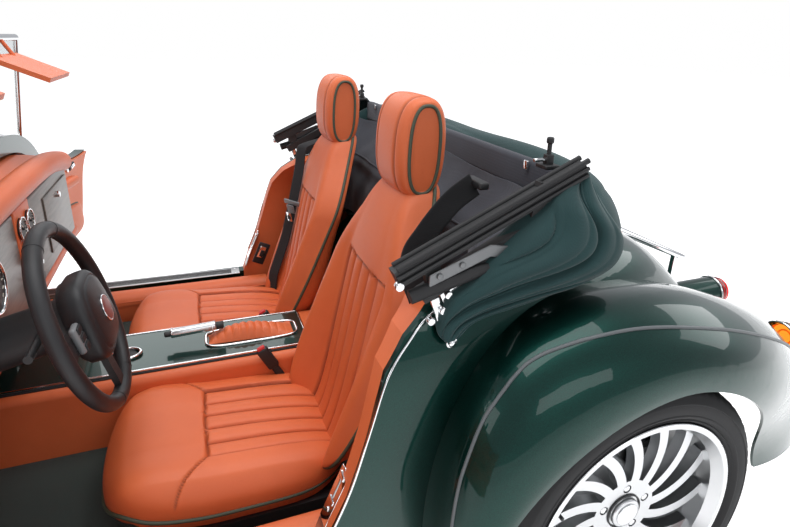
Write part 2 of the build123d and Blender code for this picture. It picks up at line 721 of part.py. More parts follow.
def rear_axle():
    """Final drive, axle tubes with stubs, trailing arms and calipers."""
    x, z = REAR_AXLE_X, TYRE_RADIUS
    axle = rod((x, -490, z), (x, 490, z), 38)
    axle += rod((x, -90, z), (x, 90, z), 80)
    for side in (-1, 1):
        axle += rod((x, 0, z), (x, side * (HUB_END - 20), z), AXLE_RADIUS - AXLE_FIT)
        axle += block(x - 20, x + 20, side * 420 - 20, side * 420 + 20, 180, z)
        axle += block(x, x + 420, side * 420 - 20, side * 420 + 20, 180, 215)
        axle += block(x + 380, x + 420, side * 405 - 34.6, side * 405 + 34.6, 180, 215)
    jaw = caliper(x, KNUCKLE_OUTER_Y - 10) + block(x - 110, x, 480, KNUCKLE_OUTER_Y, z - 30, z + 30)
    axle += jaw + other_side(jaw)
    return one_solid(axle)


def engine():
    """Plain block for the engine and gearbox."""
    return block(520, 1120, -260, 260, RAIL_TOP - 10, 700)


def exhausts():
    """Two pipes under the floor, with bright tips at the tail."""
    pipe = rod((500, PIPE_Y, PIPE_Z), (-NOSE_X, PIPE_Y, PIPE_Z), 24)
    pipe += rod((-1720, PIPE_Y, PIPE_Z), (-1900, PIPE_Y, PIPE_Z), 55)
    for x in (-1660, -900, -100):
        pipe += block(x - 10, x + 10, PIPE_Y - 10, PIPE_Y + 10, PIPE_Z + 15, RAIL_TOP - 56)
    left = one_solid(pipe)
    return [left, other_side(left)]


def floor_pan():
    """Cabin floor."""
    top = FLOOR_BOTTOM + FLOOR_THICKNESS
    inside = body_form(-CABIN_WALL - SEAT_GAP, 20.0)
    rear = REAR_AXLE_X + TYRE_RADIUS + WELL_GAP + LINER_WALL + 4
    plate = block(rear, FIREWALL_X - FIREWALL_WALL - SEAT_GAP, -FAR, FAR, FLOOR_BOTTOM, top)
    plate += block(FLOOR_REAR_X, rear, -500, 500, FLOOR_BOTTOM, top)
    shelf = block(FLOOR_REAR_X, FLOOR_REAR_X + 20, -500, 500, FLOOR_BOTTOM, 640)
    return one_solid((plate + shelf) & inside)


def tunnel():
    """Trimmed transmission tunnel, open underneath."""
    top = FLOOR_BOTTOM + FLOOR_THICKNESS
    front = FIREWALL_X - FIREWALL_WALL - SEAT_GAP
    outer = block(TUNNEL_REAR_X, front, -TUNNEL_HALF, TUNNEL_HALF, top, TUNNEL_TOP)
    outer = fillet(outer.edges().filter_by(Axis.X).group_by(Axis.Z)[-1], 20)
    inner = block(TUNNEL_REAR_X + 20, front - 20, -TUNNEL_HALF + 20, TUNNEL_HALF - 20, top - 1, TUNNEL_TOP - 20)
    return one_solid(outer - inner)


def console_panel():
    """Painted plate on the tunnel."""
    return block(-720, 60, -CONSOLE_HALF, CONSOLE_HALF, TUNNEL_TOP, TUNNEL_TOP + 8)


def handbrake():
    """Lever that lies along the console."""
    lever = rod((-560, 0, TUNNEL_TOP + 20), (-470, 0, TUNNEL_TOP + 36), 11)
    lever += rod((-470, 0, TUNNEL_TOP + 36), (-360, 0, TUNNEL_TOP + 40), 14)
    lever += block(-580, -540, -12, 12, TUNNEL_TOP + 8, TUNNEL_TOP + 30)
    return one_solid(lever)


def dashboard():
    """Padded dash under the scuttle."""
    front = FIREWALL_X - FIREWALL_WALL - SEAT_GAP
    pad = side_prism([(front, 660), (front, 900), (-20, 915), (-70, 890), (-90, 830), (-50, 640), (60, 600)], -575, 575)
    pad = pad & body_form(-CABIN_WALL - DASH_GAP, 20.0)
    hollow = side_prism([(front - 20, 640), (front - 20, 780), (60, 780), (70, 560)], -540, 540)
    passage = column_rod(0, 200, 48) + column_rod(0, 700, COLUMN_RADIUS + 1)
    return one_solid(pad - hollow - passage)


def column_rod(start, end, radius):
    """A round bar along the steering column, between two distances from the wheel's middle."""
    centre = placed((STEERING_WHEEL_X, STEERING_WHEEL_Y, STEERING_WHEEL_Z))
    plane = Plane(origin=centre + steering_axis() * start, z_dir=steering_axis())
    return plane * Cylinder(radius, end - start, align=(Align.CENTER, Align.CENTER, Align.MIN))


def steering_axis():
    """Direction from the steering wheel's boss down the column."""
    tilt = radians(STEERING_WHEEL_TILT)
    return Vector(cos(tilt), 0, -sin(tilt))


def steering_wheel():
    """Rim, three spokes and boss."""
    centre = placed((STEERING_WHEEL_X, STEERING_WHEEL_Y, STEERING_WHEEL_Z))
    plane = Plane(origin=centre, x_dir=(0, 1, 0), z_dir=steering_axis())
    wheel = Torus(STEERING_WHEEL_RADIUS, STEERING_RIM_RADIUS)
    wheel += Pos(0, 0, -8) * Cylinder(STEERING_BOSS_RADIUS, STEERING_BOSS_DEPTH)
    for turn in (0, 90, 180):
        arm = Rot(0, 0, -turn) * (Pos(STEERING_WHEEL_RADIUS / 2 + 20, 0, 0) * Box(STEERING_WHEEL_RADIUS - 30, 34, 12))
        wheel += arm
    back = STEERING_BOSS_DEPTH / 2 - 8
    wheel -= Pos(0, 0, back - 10) * Cylinder(SPINDLE_RADIUS + AXLE_FIT, 20)
    return one_solid(plane * wheel)


def steering_column():
    """Shroud with stalks, from behind the wheel to the firewall."""
    start = STEERING_BOSS_DEPTH / 2 - 8 + COLUMN_GAP
    firewall = FIREWALL_X - FIREWALL_WALL - SEAT_GAP
    reach = (firewall - STEERING_WHEEL_X) * STRETCH / steering_axis().X
    column = column_rod(start, start + 150, 46)
    column += column_rod(start, reach + 40, COLUMN_RADIUS) & slab(-FAR, firewall)
    column += column_rod(start - COLUMN_GAP - 15, start, SPINDLE_RADIUS)
    stalk = (STEERING_WHEEL_X + 65, STEERING_WHEEL_Y, STEERING_WHEEL_Z - 15)
    for side in (-1, 1):
        column += rod(stalk, (stalk[0] - 10, stalk[1] + side * 150, stalk[2] + 20), 7)
    return one_solid(column)


def seat_bases():
    """Plinths under the seats."""
    top = FLOOR_BOTTOM + FLOOR_THICKNESS
    left = block(-720, -330, SEAT_Y - 170, SEAT_Y + 170, top, 282)
    return [left, other_side(left)]


def seat_cushions():
    """Plain solids of the cushions."""
    outline = [(-774.7, 282.3), (-260, 282.3), (-235, 330), (-245, 385), (-300, 405), (-500, 360), (-772.6, 350)]
    left = side_prism(outline, SEAT_Y - 195, SEAT_Y + 215)
    return [left, other_side(left)]


def seat_backs():
    """Plain solids of the backrests."""
    outline = [(-770, 300), (-765, 420), (-850, 760), (-885, 880), (-905, 884.7), (-985, 884.7), (-960, 760), (-900, 300)]
    left = side_prism([(x - 5, z) for x, z in outline], SEAT_Y - 195, SEAT_Y + 215)
    left -= barrel_at(REAR_AXLE_X, TYRE_RADIUS, TYRE_RADIUS + WELL_GAP + LINER_WALL + 5)
    return [left, other_side(left)]


def head_restraints():
    """Plain solids of the head restraints."""
    left = block(-1005, -850, SEAT_Y - 92, SEAT_Y + 92, 885, 1125)
    left = fillet(left.edges().filter_by(Axis.Y), 50)
    return [left, other_side(left)]


def hood_frame_left():
    """Folded roof rails on the left, with the links between them and their foot on the coaming."""
    across, tall = HOOD_RAIL_WIDTH, HOOD_RAIL_HEIGHT
    x0, y0, z0 = HOOD_RAIL_FRONT
    x1, y1, z1 = HOOD_RAIL_REAR
    frame = bar(HOOD_RAIL_FRONT, HOOD_RAIL_REAR, across, tall)
    frame += bar((x0 - 45, y0, z0 - 38), (x1 + 60, y1, z1 - 75), across, tall * 0.8)
    frame += bar((x0 - 60, y0, z0 + 20), (x0 - 75, y0, z0 - 30), across - 8, tall)
    frame += bar((x1 + 75, y1, z1 - 20), (x1 + 90, y1, z1 - 90), across - 8, tall)
    frame += bar((x0 - 130, y0, z0 + 5), (x0 - 125, y0, 780), across - 8, tall)
    return one_solid(frame - (OUTER & behind_door()))


def hood_folded():
    """Plain solid of the folded roof, a horseshoe round the back of the cockpit."""
    inner_y = HOOD_RAIL_FRONT[1] + HOOD_RAIL_WIDTH / 2 + 1
    outer_y = inner_y + 38
    back = [(-1122, 846), (-1122, 965), (-1150, 1000), (-1200, 990), (-1270, 930), (-1300, 865), (-1300, 846)]
    low = [(-846, 740), (-872, 742), (-1000, 790), (-1100, 808), (-1280, 824), (-1300, 860)]
    high = [(-1288, 905), (-1200, 990), (-1130, 1030), (-1050, 990), (-960, 920), (-880, 830)]
    shape = side_prism(back, -inner_y, inner_y)
    corner = side_prism(low + high, inner_y - 60, inner_y) & slab(-FAR * 2, HOOD_RAIL_REAR[0] - 20)
    arm = side_prism(low + high, inner_y, outer_y) + corner
    return one_solid(shape + arm + other_side(arm) - CLEAR)


def screen_plate(half_thickness, half_width, foot_z, top_z):
    """A leaning plate in the windscreen's plane."""
    lean = (SCREEN_TOP[0] - SCREEN_FOOT[0]) / (SCREEN_TOP[1] - SCREEN_FOOT[1])
    foot_x = SCREEN_FOOT[0] + (foot_z - SCREEN_FOOT[1]) * lean
    top_x = SCREEN_FOOT[0] + (top_z - SCREEN_FOOT[1]) * lean
    outline = [
        (foot_x - half_thickness, foot_z),
        (foot_x + half_thickness, foot_z),
        (top_x + half_thickness, top_z),
        (top_x - half_thickness, top_z),
    ]
    return side_prism(outline, -half_width, half_width)


def windscreen_frame():
    """Bright frame whose lower bar follows the scuttle."""
    foot, top = SCREEN_FOOT, SCREEN_TOP
    frame = screen_plate(SCREEN_BAR, SCREEN_HALF, foot[1], top[1]) & SCREEN_BASE
    frame += rod((top[0], -SCREEN_HALF, top[1]), (top[0], SCREEN_HALF, top[1]), SCREEN_BAR)
    for side in (-1, 1):
        y = side * SCREEN_HALF
        frame += rod((foot[0], y, foot[1]), (top[0], y, top[1]), SCREEN_BAR)
        frame += Pos(placed((top[0], y, top[1]))) * Sphere(SCREEN_BAR)
    return one_solid(frame - OUTER)


def windscreen_glass():
    """Flat pane inside the frame."""
    edge = SCREEN_BAR + 0.1
    return one_solid(screen_plate(GLASS_HALF, SCREEN_HALF - edge, SCREEN_FOOT[1], SCREEN_TOP[1] - edge) - SCREEN_BASE)


def sun_visors():
    """Two padded visors on arms from the screen's top bar."""
    visors = []
    for side in (-1, 1):
        y = side * SEAT_Y
        plate = Pos(placed((-105, y, 1140))) * Rot(0, -23, 0) * Box(130, 250, 12)
        plate += rod((SCREEN_TOP[0], y - 60, SCREEN_TOP[1]), (-60, y - 60, 1158), 5)
        plate += rod((SCREEN_TOP[0], y + 60, SCREEN_TOP[1]), (-60, y + 60, 1158), 5)
        bar_space = rod((SCREEN_TOP[0], -FAR, SCREEN_TOP[1]), (SCREEN_TOP[0], FAR, SCREEN_TOP[1]), SCREEN_BAR)
        pane_space = screen_plate(GLASS_HALF + SEAT_GAP, SCREEN_HALF, SCREEN_TOP[1] - 60, SCREEN_TOP[1])
        visors.append(one_solid(plate - bar_space - pane_space))
    return visors


def luggage_rack():
    """Tubular rack over the tail: a rounded ring with bars across and feet on the deck."""
    slope = radians(RACK_SLOPE)
    plane = Plane(
        origin=(RACK_MIDDLE_X, 0, RACK_MIDDLE_Z), x_dir=(cos(slope), 0, sin(slope)), z_dir=(-sin(slope), 0, cos(slope))
    )
    ring = plane * RectangleRounded(RACK_LENGTH, RACK_WIDTH, RACK_CORNER).wire()
    start = plane * Plane(origin=(0, RACK_WIDTH / 2, 0), x_dir=(0, 1, 0), z_dir=(1, 0, 0))
    rack = sweep(start * Circle(RACK_TUBE), path=ring)
    half_long, half_wide = RACK_LENGTH / 2, RACK_WIDTH / 2
    for x in (-half_long / 3, half_long / 3):
        a = plane.from_local_coords((x, -half_wide, 0))
        b = plane.from_local_coords((x, half_wide, 0))
        rack += rod(tuple(a), tuple(b), RACK_TUBE - 2)
    for y in (-half_wide / 2, half_wide / 2):
        a = plane.from_local_coords((-half_long, y, 2))
        b = plane.from_local_coords((half_long, y, 2))
        rack += rod(tuple(a), tuple(b), RACK_TUBE - 3)
    for x in (-half_long * 0.6, half_long * 0.6):
        for y in (-half_wide, half_wide):
            top = plane.from_local_coords((x, y, 0))
            rack += rod(tuple(top), (top.X, top.Y * 0.98, top.Z - 220), RACK_TUBE - 1.5)
    return one_solid(rack - CLEAR)


def lamp_housing(lamp, wing):
    """Painted tube of one tail lamp, cut to the body and the wing that it stands on."""
    x, y, z = lamp
    tube = rod((x + 200, y, z), lamp, TAIL_LAMP_RADIUS)
    return one_solid(tube - CLEAR - wing)


def lamp_lens(lamp, wing):
    """Domed lens of one tail lamp."""
    x, y, z = lamp
    lens = rod(lamp, (x - 34, y, z), TAIL_LAMP_RADIUS - 1.5)
    return one_solid(fillet(lens.edges().group_by(Axis.X)[0], 16) - wing)


def headlamp_left(wing):
    """Bullet-shaped headlamp shell on a short stem."""
    x, y, z = HEADLAMP
    radius = HEADLAMP_RADIUS
    back = Spline((-170, 0), (-135, 0.55 * radius), (-70, 0.9 * radius), (0, radius), tangents=((0, 1), (1, 0)))
    outline = make_face(back + Line((0, radius), (0, 0)) + Line((0, 0), (-170, 0)))
    shell = Pos(placed(HEADLAMP)) * revolve(outline, Axis.X)
    stem = rod((x - 70, y, z - 20), (x - 90, y, z - 190), 20)
    return one_solid(shell + stem - OUTER - wing)


def headlamp_lens_left():
    """Round glass in front of the headlamp."""
    x, y, z = HEADLAMP
    lens = rod(HEADLAMP, (x + 16, y, z), HEADLAMP_RADIUS - 4)
    return fillet(lens.edges().group_by(Axis.X)[-1], 8)


def door_mirror_left_closed():
    """Mirror on a stalk from the top of the left door, shut."""
    head = Pos(placed((22, 765, 905))) * Box(44, 130, 86)
    head = fillet(head.edges(), 18)
    stalk = rod((45, 545, 812), (24, 730, 896), 8)
    return one_solid(head + stalk - OUTER)


def pair(left):
    """A left-hand piece and its mirror image."""
    return [left, other_side(left)]


def build():
    """Every node of the car, shut doors swung open."""
    left_door = swing_open(door_left_closed())
    left_trim = swing_open(door_trim_left_closed())
    left_mirror = swing_open(door_mirror_left_closed())
    front_wing = front_wing_left()
    rear_wing = rear_wing_left()
    sill = sill_left()
    bonnet = bonnet_left()
    knuckle = knuckle_left()
    nodes = {
        "scuttle": [scuttle()],
        "engine_bay_sides": front_body(),
        "bonnet_left": [bonnet],
        "bonnet_right": [other_side(bonnet)],
        "radiator_cowl": [radiator_cowl()],
        "grille": [grille()],
        "rear_body": [rear_body()],
        "sills": [sill, other_side(sill)],
        "door_left": [left_door],
        "door_right": [other_side(left_door)],
        "door_trim_left": [left_trim],
        "door_trim_right": [other_side(left_trim)],
        "front_wings": [front_wing, other_side(front_wing)],
        "rear_wings": [rear_wing, other_side(rear_wing)],
        "knuckle_left": [knuckle],
        "knuckle_right": [other_side(knuckle)],
        "front_suspension": front_suspension(),
        "chassis_frame": [chassis_frame()],
        "rear_axle": [rear_axle()],
        "engine_block": [engine()],
        "exhausts": exhausts(),
        "floor_pan": [floor_pan()],
        "tunnel": [tunnel()],
        "console_panel": [console_panel()],
        "handbrake": [handbrake()],
        "dashboard": [dashboard()],
        "steering_wheel": [steering_wheel()],
        "steering_column": [steering_column()],
        "seat_bases": seat_bases(),
        "seat_cushions": seat_cushions(),
        "seat_backs": seat_backs(),
        "head_restraints": head_restraints(),
        "hood_folded": [hood_folded()],
        "windscreen_frame": [windscreen_frame()],
        "windscreen_glass": [windscreen_glass()],
        "luggage_rack": [luggage_rack()],
        "hood_frame": pair(hood_frame_left()),
        "body_trim": pair(body_trim_left()),
        "sun_visors": sun_visors(),
        "door_mirror_left": [left_mirror],
        "door_mirror_right": [other_side(left_mirror)],
        "tail_lamp_housings": pair(lamp_housing(STOP_LAMP, rear_wing)) + pair(lamp_housing(TURN_LAMP, rear_wing)),
        "tail_lamps": pair(lamp_lens(STOP_LAMP, rear_wing)),
        "tail_indicators": pair(lamp_lens(TURN_LAMP, rear_wing)),
        "headlamps": pair(headlamp_left(front_wing)),
        "headlamp_lenses": pair(headlamp_lens_left()),
    }
    for end, x, width in (("front", FRONT_AXLE_X, FRONT_TYRE_WIDTH), ("rear", REAR_AXLE_X, REAR_TYRE_WIDTH)):
        rim = rim_left(x, width)
        tyre = tyre_left(x, width)
        nodes["rim_" + end + "_left"] = [rim]
        nodes["rim_" + end + "_right"] = [other_side(rim)]
        nodes["tyre_" + end + "_left"] = [tyre]
        nodes["tyre_" + end + "_right"] = [other_side(tyre)]
    return nodes


for name, solids in build().items():
    flat = [solid for shape in solids for solid in shape.solids()]
    export_step(Compound(children=flat), "parts/" + name + ".step")
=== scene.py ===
# %% [markdown]
# # An open two-seat roadster
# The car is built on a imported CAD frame: steel panels, wheels and chassis come from there.
# Blender adds what gives them life: leather, cloth, trim and finishes. Everything is in metres,
# with +X towards the nose, +Y to the left and +Z up, so a piece goes where the frame says.

# %% Load the frame
from math import cos, degrees, pi, radians, sin

import bmesh
import bpy
from mathutils import Matrix, Vector


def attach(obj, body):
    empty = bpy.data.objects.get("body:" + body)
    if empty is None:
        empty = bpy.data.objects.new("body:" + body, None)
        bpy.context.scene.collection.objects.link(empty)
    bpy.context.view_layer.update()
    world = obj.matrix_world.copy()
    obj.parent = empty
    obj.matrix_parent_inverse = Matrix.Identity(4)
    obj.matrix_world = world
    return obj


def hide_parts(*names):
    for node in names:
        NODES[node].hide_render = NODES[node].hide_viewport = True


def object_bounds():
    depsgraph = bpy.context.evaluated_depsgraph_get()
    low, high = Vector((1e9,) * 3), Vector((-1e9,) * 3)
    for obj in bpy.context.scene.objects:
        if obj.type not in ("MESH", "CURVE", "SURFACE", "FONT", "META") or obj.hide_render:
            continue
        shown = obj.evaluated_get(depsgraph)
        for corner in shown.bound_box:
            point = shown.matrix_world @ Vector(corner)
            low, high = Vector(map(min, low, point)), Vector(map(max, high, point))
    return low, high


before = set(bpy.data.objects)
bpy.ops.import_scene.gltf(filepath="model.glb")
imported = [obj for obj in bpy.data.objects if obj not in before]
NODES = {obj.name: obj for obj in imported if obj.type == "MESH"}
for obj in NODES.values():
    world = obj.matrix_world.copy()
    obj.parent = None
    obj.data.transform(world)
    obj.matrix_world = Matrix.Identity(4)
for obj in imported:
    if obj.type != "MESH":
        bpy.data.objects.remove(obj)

CAD_BOX = [list(corner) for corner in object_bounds()]
print("nodes", len(NODES), "box", CAD_BOX)

# %% [markdown]
# ## The camera
# The photograph looks down into the cockpit from beside the left rear wheel, with a wide lens.
# Its place and angle were found from the size of the wheel and the height of the sill. The
# photograph is a crop of a larger one, so the lens is shifted a little off centre.

# %% Camera
CAMERA_PLACE = Vector((-0.483, 1.4233, 1.23))
CAMERA_YAW, CAMERA_PITCH, CAMERA_ROLL = radians(22.17), radians(19.02), radians(1.745)
PHOTO_WIDTH, PHOTO_HEIGHT = 790, 527
FOCAL_PIXELS = 545.1
LENS_CENTRE = (413.9, 230.0)


def camera_axes():
    """Right, up and viewing direction of the camera."""
    level = cos(CAMERA_PITCH)
    view = Vector((-sin(CAMERA_YAW) * level, -cos(CAMERA_YAW) * level, -sin(CAMERA_PITCH)))
    right = view.cross(Vector((0, 0, 1))).normalized()
    up = right.cross(view)
    c, s = cos(CAMERA_ROLL), sin(CAMERA_ROLL)
    return c * right + s * up, c * up - s * right, view


def add_camera():
    """The photograph's camera."""
    lens = bpy.data.cameras.new("camera")
    lens.sensor_width = 36.0
    lens.lens = FOCAL_PIXELS / PHOTO_WIDTH * lens.sensor_width
    lens.shift_x = (PHOTO_WIDTH / 2 - LENS_CENTRE[0]) / PHOTO_WIDTH
    lens.shift_y = (LENS_CENTRE[1] - PHOTO_HEIGHT / 2) / PHOTO_WIDTH
    lens.clip_start = 0.01
    right, up, view = camera_axes()
    turned = Matrix((right, up, -view)).transposed().to_4x4()
    camera = bpy.data.objects.new("camera", lens)
    camera.matrix_world = Matrix.Translation(CAMERA_PLACE) @ turned
    bpy.context.collection.objects.link(camera)
    bpy.context.scene.camera = camera
    return camera


camera = add_camera()
print("lens", round(camera.data.lens, 2), "mm")

# %% [markdown]
# ## Shader maths as plain Python
# A material here is a few lines of arithmetic. The class wraps a node's output socket, and each
# operator adds one Math node, so `0.4 + 0.2 * grain` reads as it looks.

# %% Sockets with operators
class Wire:
    """An output socket that can be added, multiplied and so on."""

    def __init__(self, board, socket):
        self.board = board
        self.socket = socket

    def __add__(self, other):
        return self.board.math("ADD", self, other)

    def __sub__(self, other):
        return self.board.math("SUBTRACT", self, other)

    def __rsub__(self, other):
        return self.board.math("SUBTRACT", other, self)

    def __mul__(self, other):
        return self.board.math("MULTIPLY", self, other)

    def __truediv__(self, other):
        return self.board.math("DIVIDE", self, other)

    def __pow__(self, other):
        return self.board.math("POWER", self, other)

    def __gt__(self, other):
        return self.board.math("GREATER_THAN", self, other)

    def __lt__(self, other):
        return self.board.math("LESS_THAN", self, other)

    __radd__ = __add__
    __rmul__ = __mul__


class Board:
    """The node tree of one material."""

    def __init__(self, name):
        self.material = bpy.data.materials.new(name)
        self.material.use_nodes = True
        self.tree = self.material.node_tree
        self.tree.nodes.clear()
        self.place = self.node("ShaderNodeTexCoord", {}, {}, "Object")

    def node(self, kind, settings, inputs, output=0):
        """Adds a node, sets it up, fills or links its inputs and returns one output."""
        made = self.tree.nodes.new(kind)
        for key, value in settings.items():
            if key == "stops":
                self.set_stops(made.color_ramp, value)
            else:
                setattr(made, key, value)
        for key, value in inputs.items():
            self.feed(made.inputs[key], value)
        return Wire(self, made.outputs[output]) if made.outputs else made

    def set_stops(self, ramp, stops):
        """Gives a colour ramp its stops."""
        while len(ramp.elements) < len(stops):
            ramp.elements.new(0.5)
        for element, (position, colour) in zip(ramp.elements, stops):
            element.position = position
            element.color = (*colour, 1) if len(colour) == 3 else colour

    def feed(self, socket, value):
        """Links a wire to a socket, or writes a value into it."""
        if isinstance(value, Wire):
            self.tree.links.new(value.socket, socket)
        elif socket.type == "RGBA" and len(value) == 3:
            socket.default_value = (*value, 1)
        else:
            socket.default_value = value

    def math(self, operation, first, second=0.0):
        """One Math node."""
        return self.node("ShaderNodeMath", {"operation": operation}, {0: first, 1: second})

    def noise(self, scale, detail=3.0, roughness=0.5, vector=None):
        """Fractal noise from 0 to 1."""
        inputs = {"Vector": vector or self.place, "Scale": scale, "Detail": detail, "Roughness": roughness}
        return self.node("ShaderNodeTexNoise", {}, inputs, 0)

    def stretched(self, scale):
        """Object coordinates with each axis scaled."""
        return self.node("ShaderNodeMapping", {}, {"Vector": self.place, "Scale": scale})

    def axis(self, name):
        """One object coordinate, in metres."""
        return self.node("ShaderNodeSeparateXYZ", {}, {0: self.place}, name)

    def mix(self, share, first, second):
        """Blends two colours."""
        made = self.tree.nodes.new("ShaderNodeMix")
        made.data_type = "RGBA"
        self.feed(made.inputs[0], share)
        self.feed(made.inputs[6], first)
        self.feed(made.inputs[7], second)
        return Wire(self, made.outputs[2])

    def bump(self, height, strength, distance, normal=None):
        """Turns a height into a normal."""
        inputs = {"Height": height, "Strength": strength, "Distance": distance}
        if normal:
            inputs["Normal"] = normal
        return self.node("ShaderNodeBump", {}, inputs)

    def finish(self, **inputs):
        """The main shader, from named values such as Base_Color or Roughness."""
        named = {key.replace("_", " "): value for key, value in inputs.items()}
        shader = self.node("ShaderNodeBsdfPrincipled", {}, named)
        self.node("ShaderNodeOutputMaterial", {}, {"Surface": shader})
        return self.material


print("shader tools ready")

# %% [markdown]
# ## Paint
# The body is dark green metallic: a coloured base with fine flakes under a clear coat. The flakes are a very
# fine cell pattern that lightens the base and roughens it a little, and the coat stays smooth.

# %% Body paint
BODY_GREEN = (0.0015, 0.020, 0.016)
BODY_GREEN_LIT = (0.005, 0.060, 0.046)


def body_paint(name="body_paint"):
    """Dark green metallic under a clear coat."""
    b = Board(name)
    flake = b.node("ShaderNodeTexVoronoi", {}, {"Vector": b.place, "Scale": 1500.0}, "Color")
    speck = b.node("ShaderNodeSeparateColor", {}, {0: flake}, 0)
    cloud = b.noise(3.0, 2.0)
    colour = b.mix(speck * 0.55 + cloud * 0.2, BODY_GREEN, BODY_GREEN_LIT)
    return b.finish(
        Base_Color=colour,
        Metallic=0.85,
        Roughness=0.34 + 0.08 * speck,
        Coat_Weight=1.0,
        Coat_Roughness=0.03,
        Coat_IOR=1.33,
        Specular_IOR_Level=0.25,
    )


# %% [markdown]
# ## Leather
# Hide has a pebbled grain of small cells, softer folds across it and a slow change of colour.
# Each of the three is one texture of its own size. The bump is shallow: grain shows as a break in
# the shine and not as stones.

# %% Leather
TAN = (0.80, 0.185, 0.062)
TAN_DEEP = (0.62, 0.115, 0.034)


def leather(name, light, deep, roughness=0.42, grain=520.0):
    """Grained leather between two tones."""
    b = Board(name)
    where = {"Vector": b.place, "Scale": grain}
    cells = b.node("ShaderNodeTexVoronoi", {"feature": "DISTANCE_TO_EDGE"}, where, 0)
    pores = b.node("ShaderNodeMapRange", {}, {"Value": cells, "From Max": 0.12})
    creases = b.noise(38.0, 4.0, 0.6)
    tone = b.noise(6.0, 3.0)
    colour = b.mix(b.math("MINIMUM", tone * 0.9 + creases * 0.25, 1.0), deep, light)
    colour = b.mix((1 - pores) * 0.22, colour, deep)
    # Sewn lines are darkened: partly the dark stitching, partly painted shade in their sunk grooves.
    seam = b.node("ShaderNodeAttribute", {"attribute_name": "seam"}, {}, "Fac")
    colour = b.mix(seam * 0.8, colour, tuple(0.32 * c for c in deep))
    height = pores * 0.6 + creases * 0.8
    return b.finish(
        Base_Color=colour,
        Roughness=roughness + 0.10 * creases - 0.05 * pores,
        Normal=b.bump(height, 0.35, 0.0006),
        Specular_IOR_Level=0.45,
    )


# %% [markdown]
# ## Cloth
# The folded roof is woven cloth with a close rib. Two wave patterns that cross give the weave, and
# a soft noise breaks them up. The carpet uses short dense noise instead.

# %% Hood cloth and carpet
def woven(name, light, deep, pitch=0.0016, sheen=0.15):
    """Woven cloth between two tones."""
    b = Board(name)
    scale = 2 * pi / pitch
    x, y, z = b.axis(0), b.axis(1), b.axis(2)
    first = b.math("SINE", (x + 0.4 * z) * scale)
    second = b.math("SINE", (y + 0.6 * z) * scale)
    threads = 0.5 + 0.25 * first + 0.25 * second
    worn = b.noise(9.0, 4.0)
    colour = b.mix(0.35 * threads + 0.55 * worn, deep, light)
    return b.finish(
        Base_Color=colour,
        Roughness=0.82 + 0.1 * worn,
        Normal=b.bump(threads, 0.5, 0.0004),
        Sheen_Weight=sheen,
    )


def carpet(name, light, deep):
    """Cut pile."""
    b = Board(name)
    pile = b.noise(900.0, 2.0, 0.7)
    trodden = b.noise(14.0, 4.0)
    colour = b.mix(pile * 0.6 + trodden * 0.4, deep, light)
    return b.finish(
        Base_Color=colour,
        Roughness=0.95,
        Normal=b.bump(pile, 0.9, 0.002),
        Sheen_Weight=0.3,
    )


# %% [markdown]
# ## Metals, rubber, plastic, wood and glass
# A metal is told by its reflections, so its roughness matters more than its colour. Rubber and
# plastic get a moulded grain. The wood's rings are stretched noise.

# %% Metals
def metal(name, colour, roughness, marks=0.06, brushed=None):
    """Bare or lacquered metal with fine marks."""
    b = Board(name)
    where = b.stretched(brushed) if brushed else b.place
    scratch = b.noise(60.0, 5.0, 0.6, where)
    haze = b.noise(7.0, 3.0)
    darker = tuple(0.86 * c for c in colour)
    return b.finish(
        Base_Color=b.mix(haze, darker, colour),
        Metallic=1.0,
        Roughness=roughness + marks * scratch + 0.5 * marks * haze,
        Normal=b.bump(scratch, 0.06, 0.0003),
    )


def plain_painted(name, colour, roughness=0.5):
    """Satin paint on chassis parts, with road dust in soft patches."""
    b = Board(name)
    dust = b.noise(11.0, 5.0, 0.6)
    speck = b.noise(240.0, 2.0)
    dusty = tuple(0.75 * c + 0.03 for c in colour)
    return b.finish(
        Base_Color=b.mix(dust * 0.6, colour, dusty),
        Roughness=roughness + 0.2 * dust,
        Normal=b.bump(speck, 0.15, 0.0005),
    )


def moulded(name, colour, roughness=0.5, grain=700.0):
    """Grained plastic or rubber."""
    b = Board(name)
    cells = b.node("ShaderNodeTexVoronoi", {}, {"Vector": b.place, "Scale": grain}, "Distance")
    cloud = b.noise(10.0, 3.0)
    lighter = tuple(1.5 * c + 0.006 for c in colour)
    return b.finish(
        Base_Color=b.mix(cloud * 0.7, colour, lighter),
        Roughness=roughness + 0.12 * cloud,
        Normal=b.bump(cells, 0.25, 0.0004),
    )


def veneer(name, light, deep):
    """Grey-brown wood with fine grain along Y."""
    b = Board(name)
    grain = b.noise(9.0, 6.0, 0.65, b.stretched((9.0, 1.0, 9.0)))
    pores = b.noise(40.0, 3.0, 0.5, b.stretched((12.0, 0.6, 12.0)))
    rings = b.node("ShaderNodeMapRange", {}, {"Value": grain, "From Min": 0.3, "From Max": 0.7})
    colour = b.mix(rings, deep, light)
    colour = b.mix((pores > 0.62) * 0.5, colour, deep)
    return b.finish(Base_Color=colour, Roughness=0.3 + 0.1 * grain, Normal=b.bump(pores, 0.2, 0.0003))


def clear(name, colour, roughness=0.02, ior=1.45):
    """Glass or a clear plastic lens."""
    b = Board(name)
    smear = b.noise(5.0, 4.0)
    return b.finish(
        Base_Color=b.mix(smear * 0.3, colour, tuple(0.92 * c for c in colour)),
        Roughness=roughness + 0.02 * smear,
        Transmission_Weight=1.0,
        IOR=ior,
    )


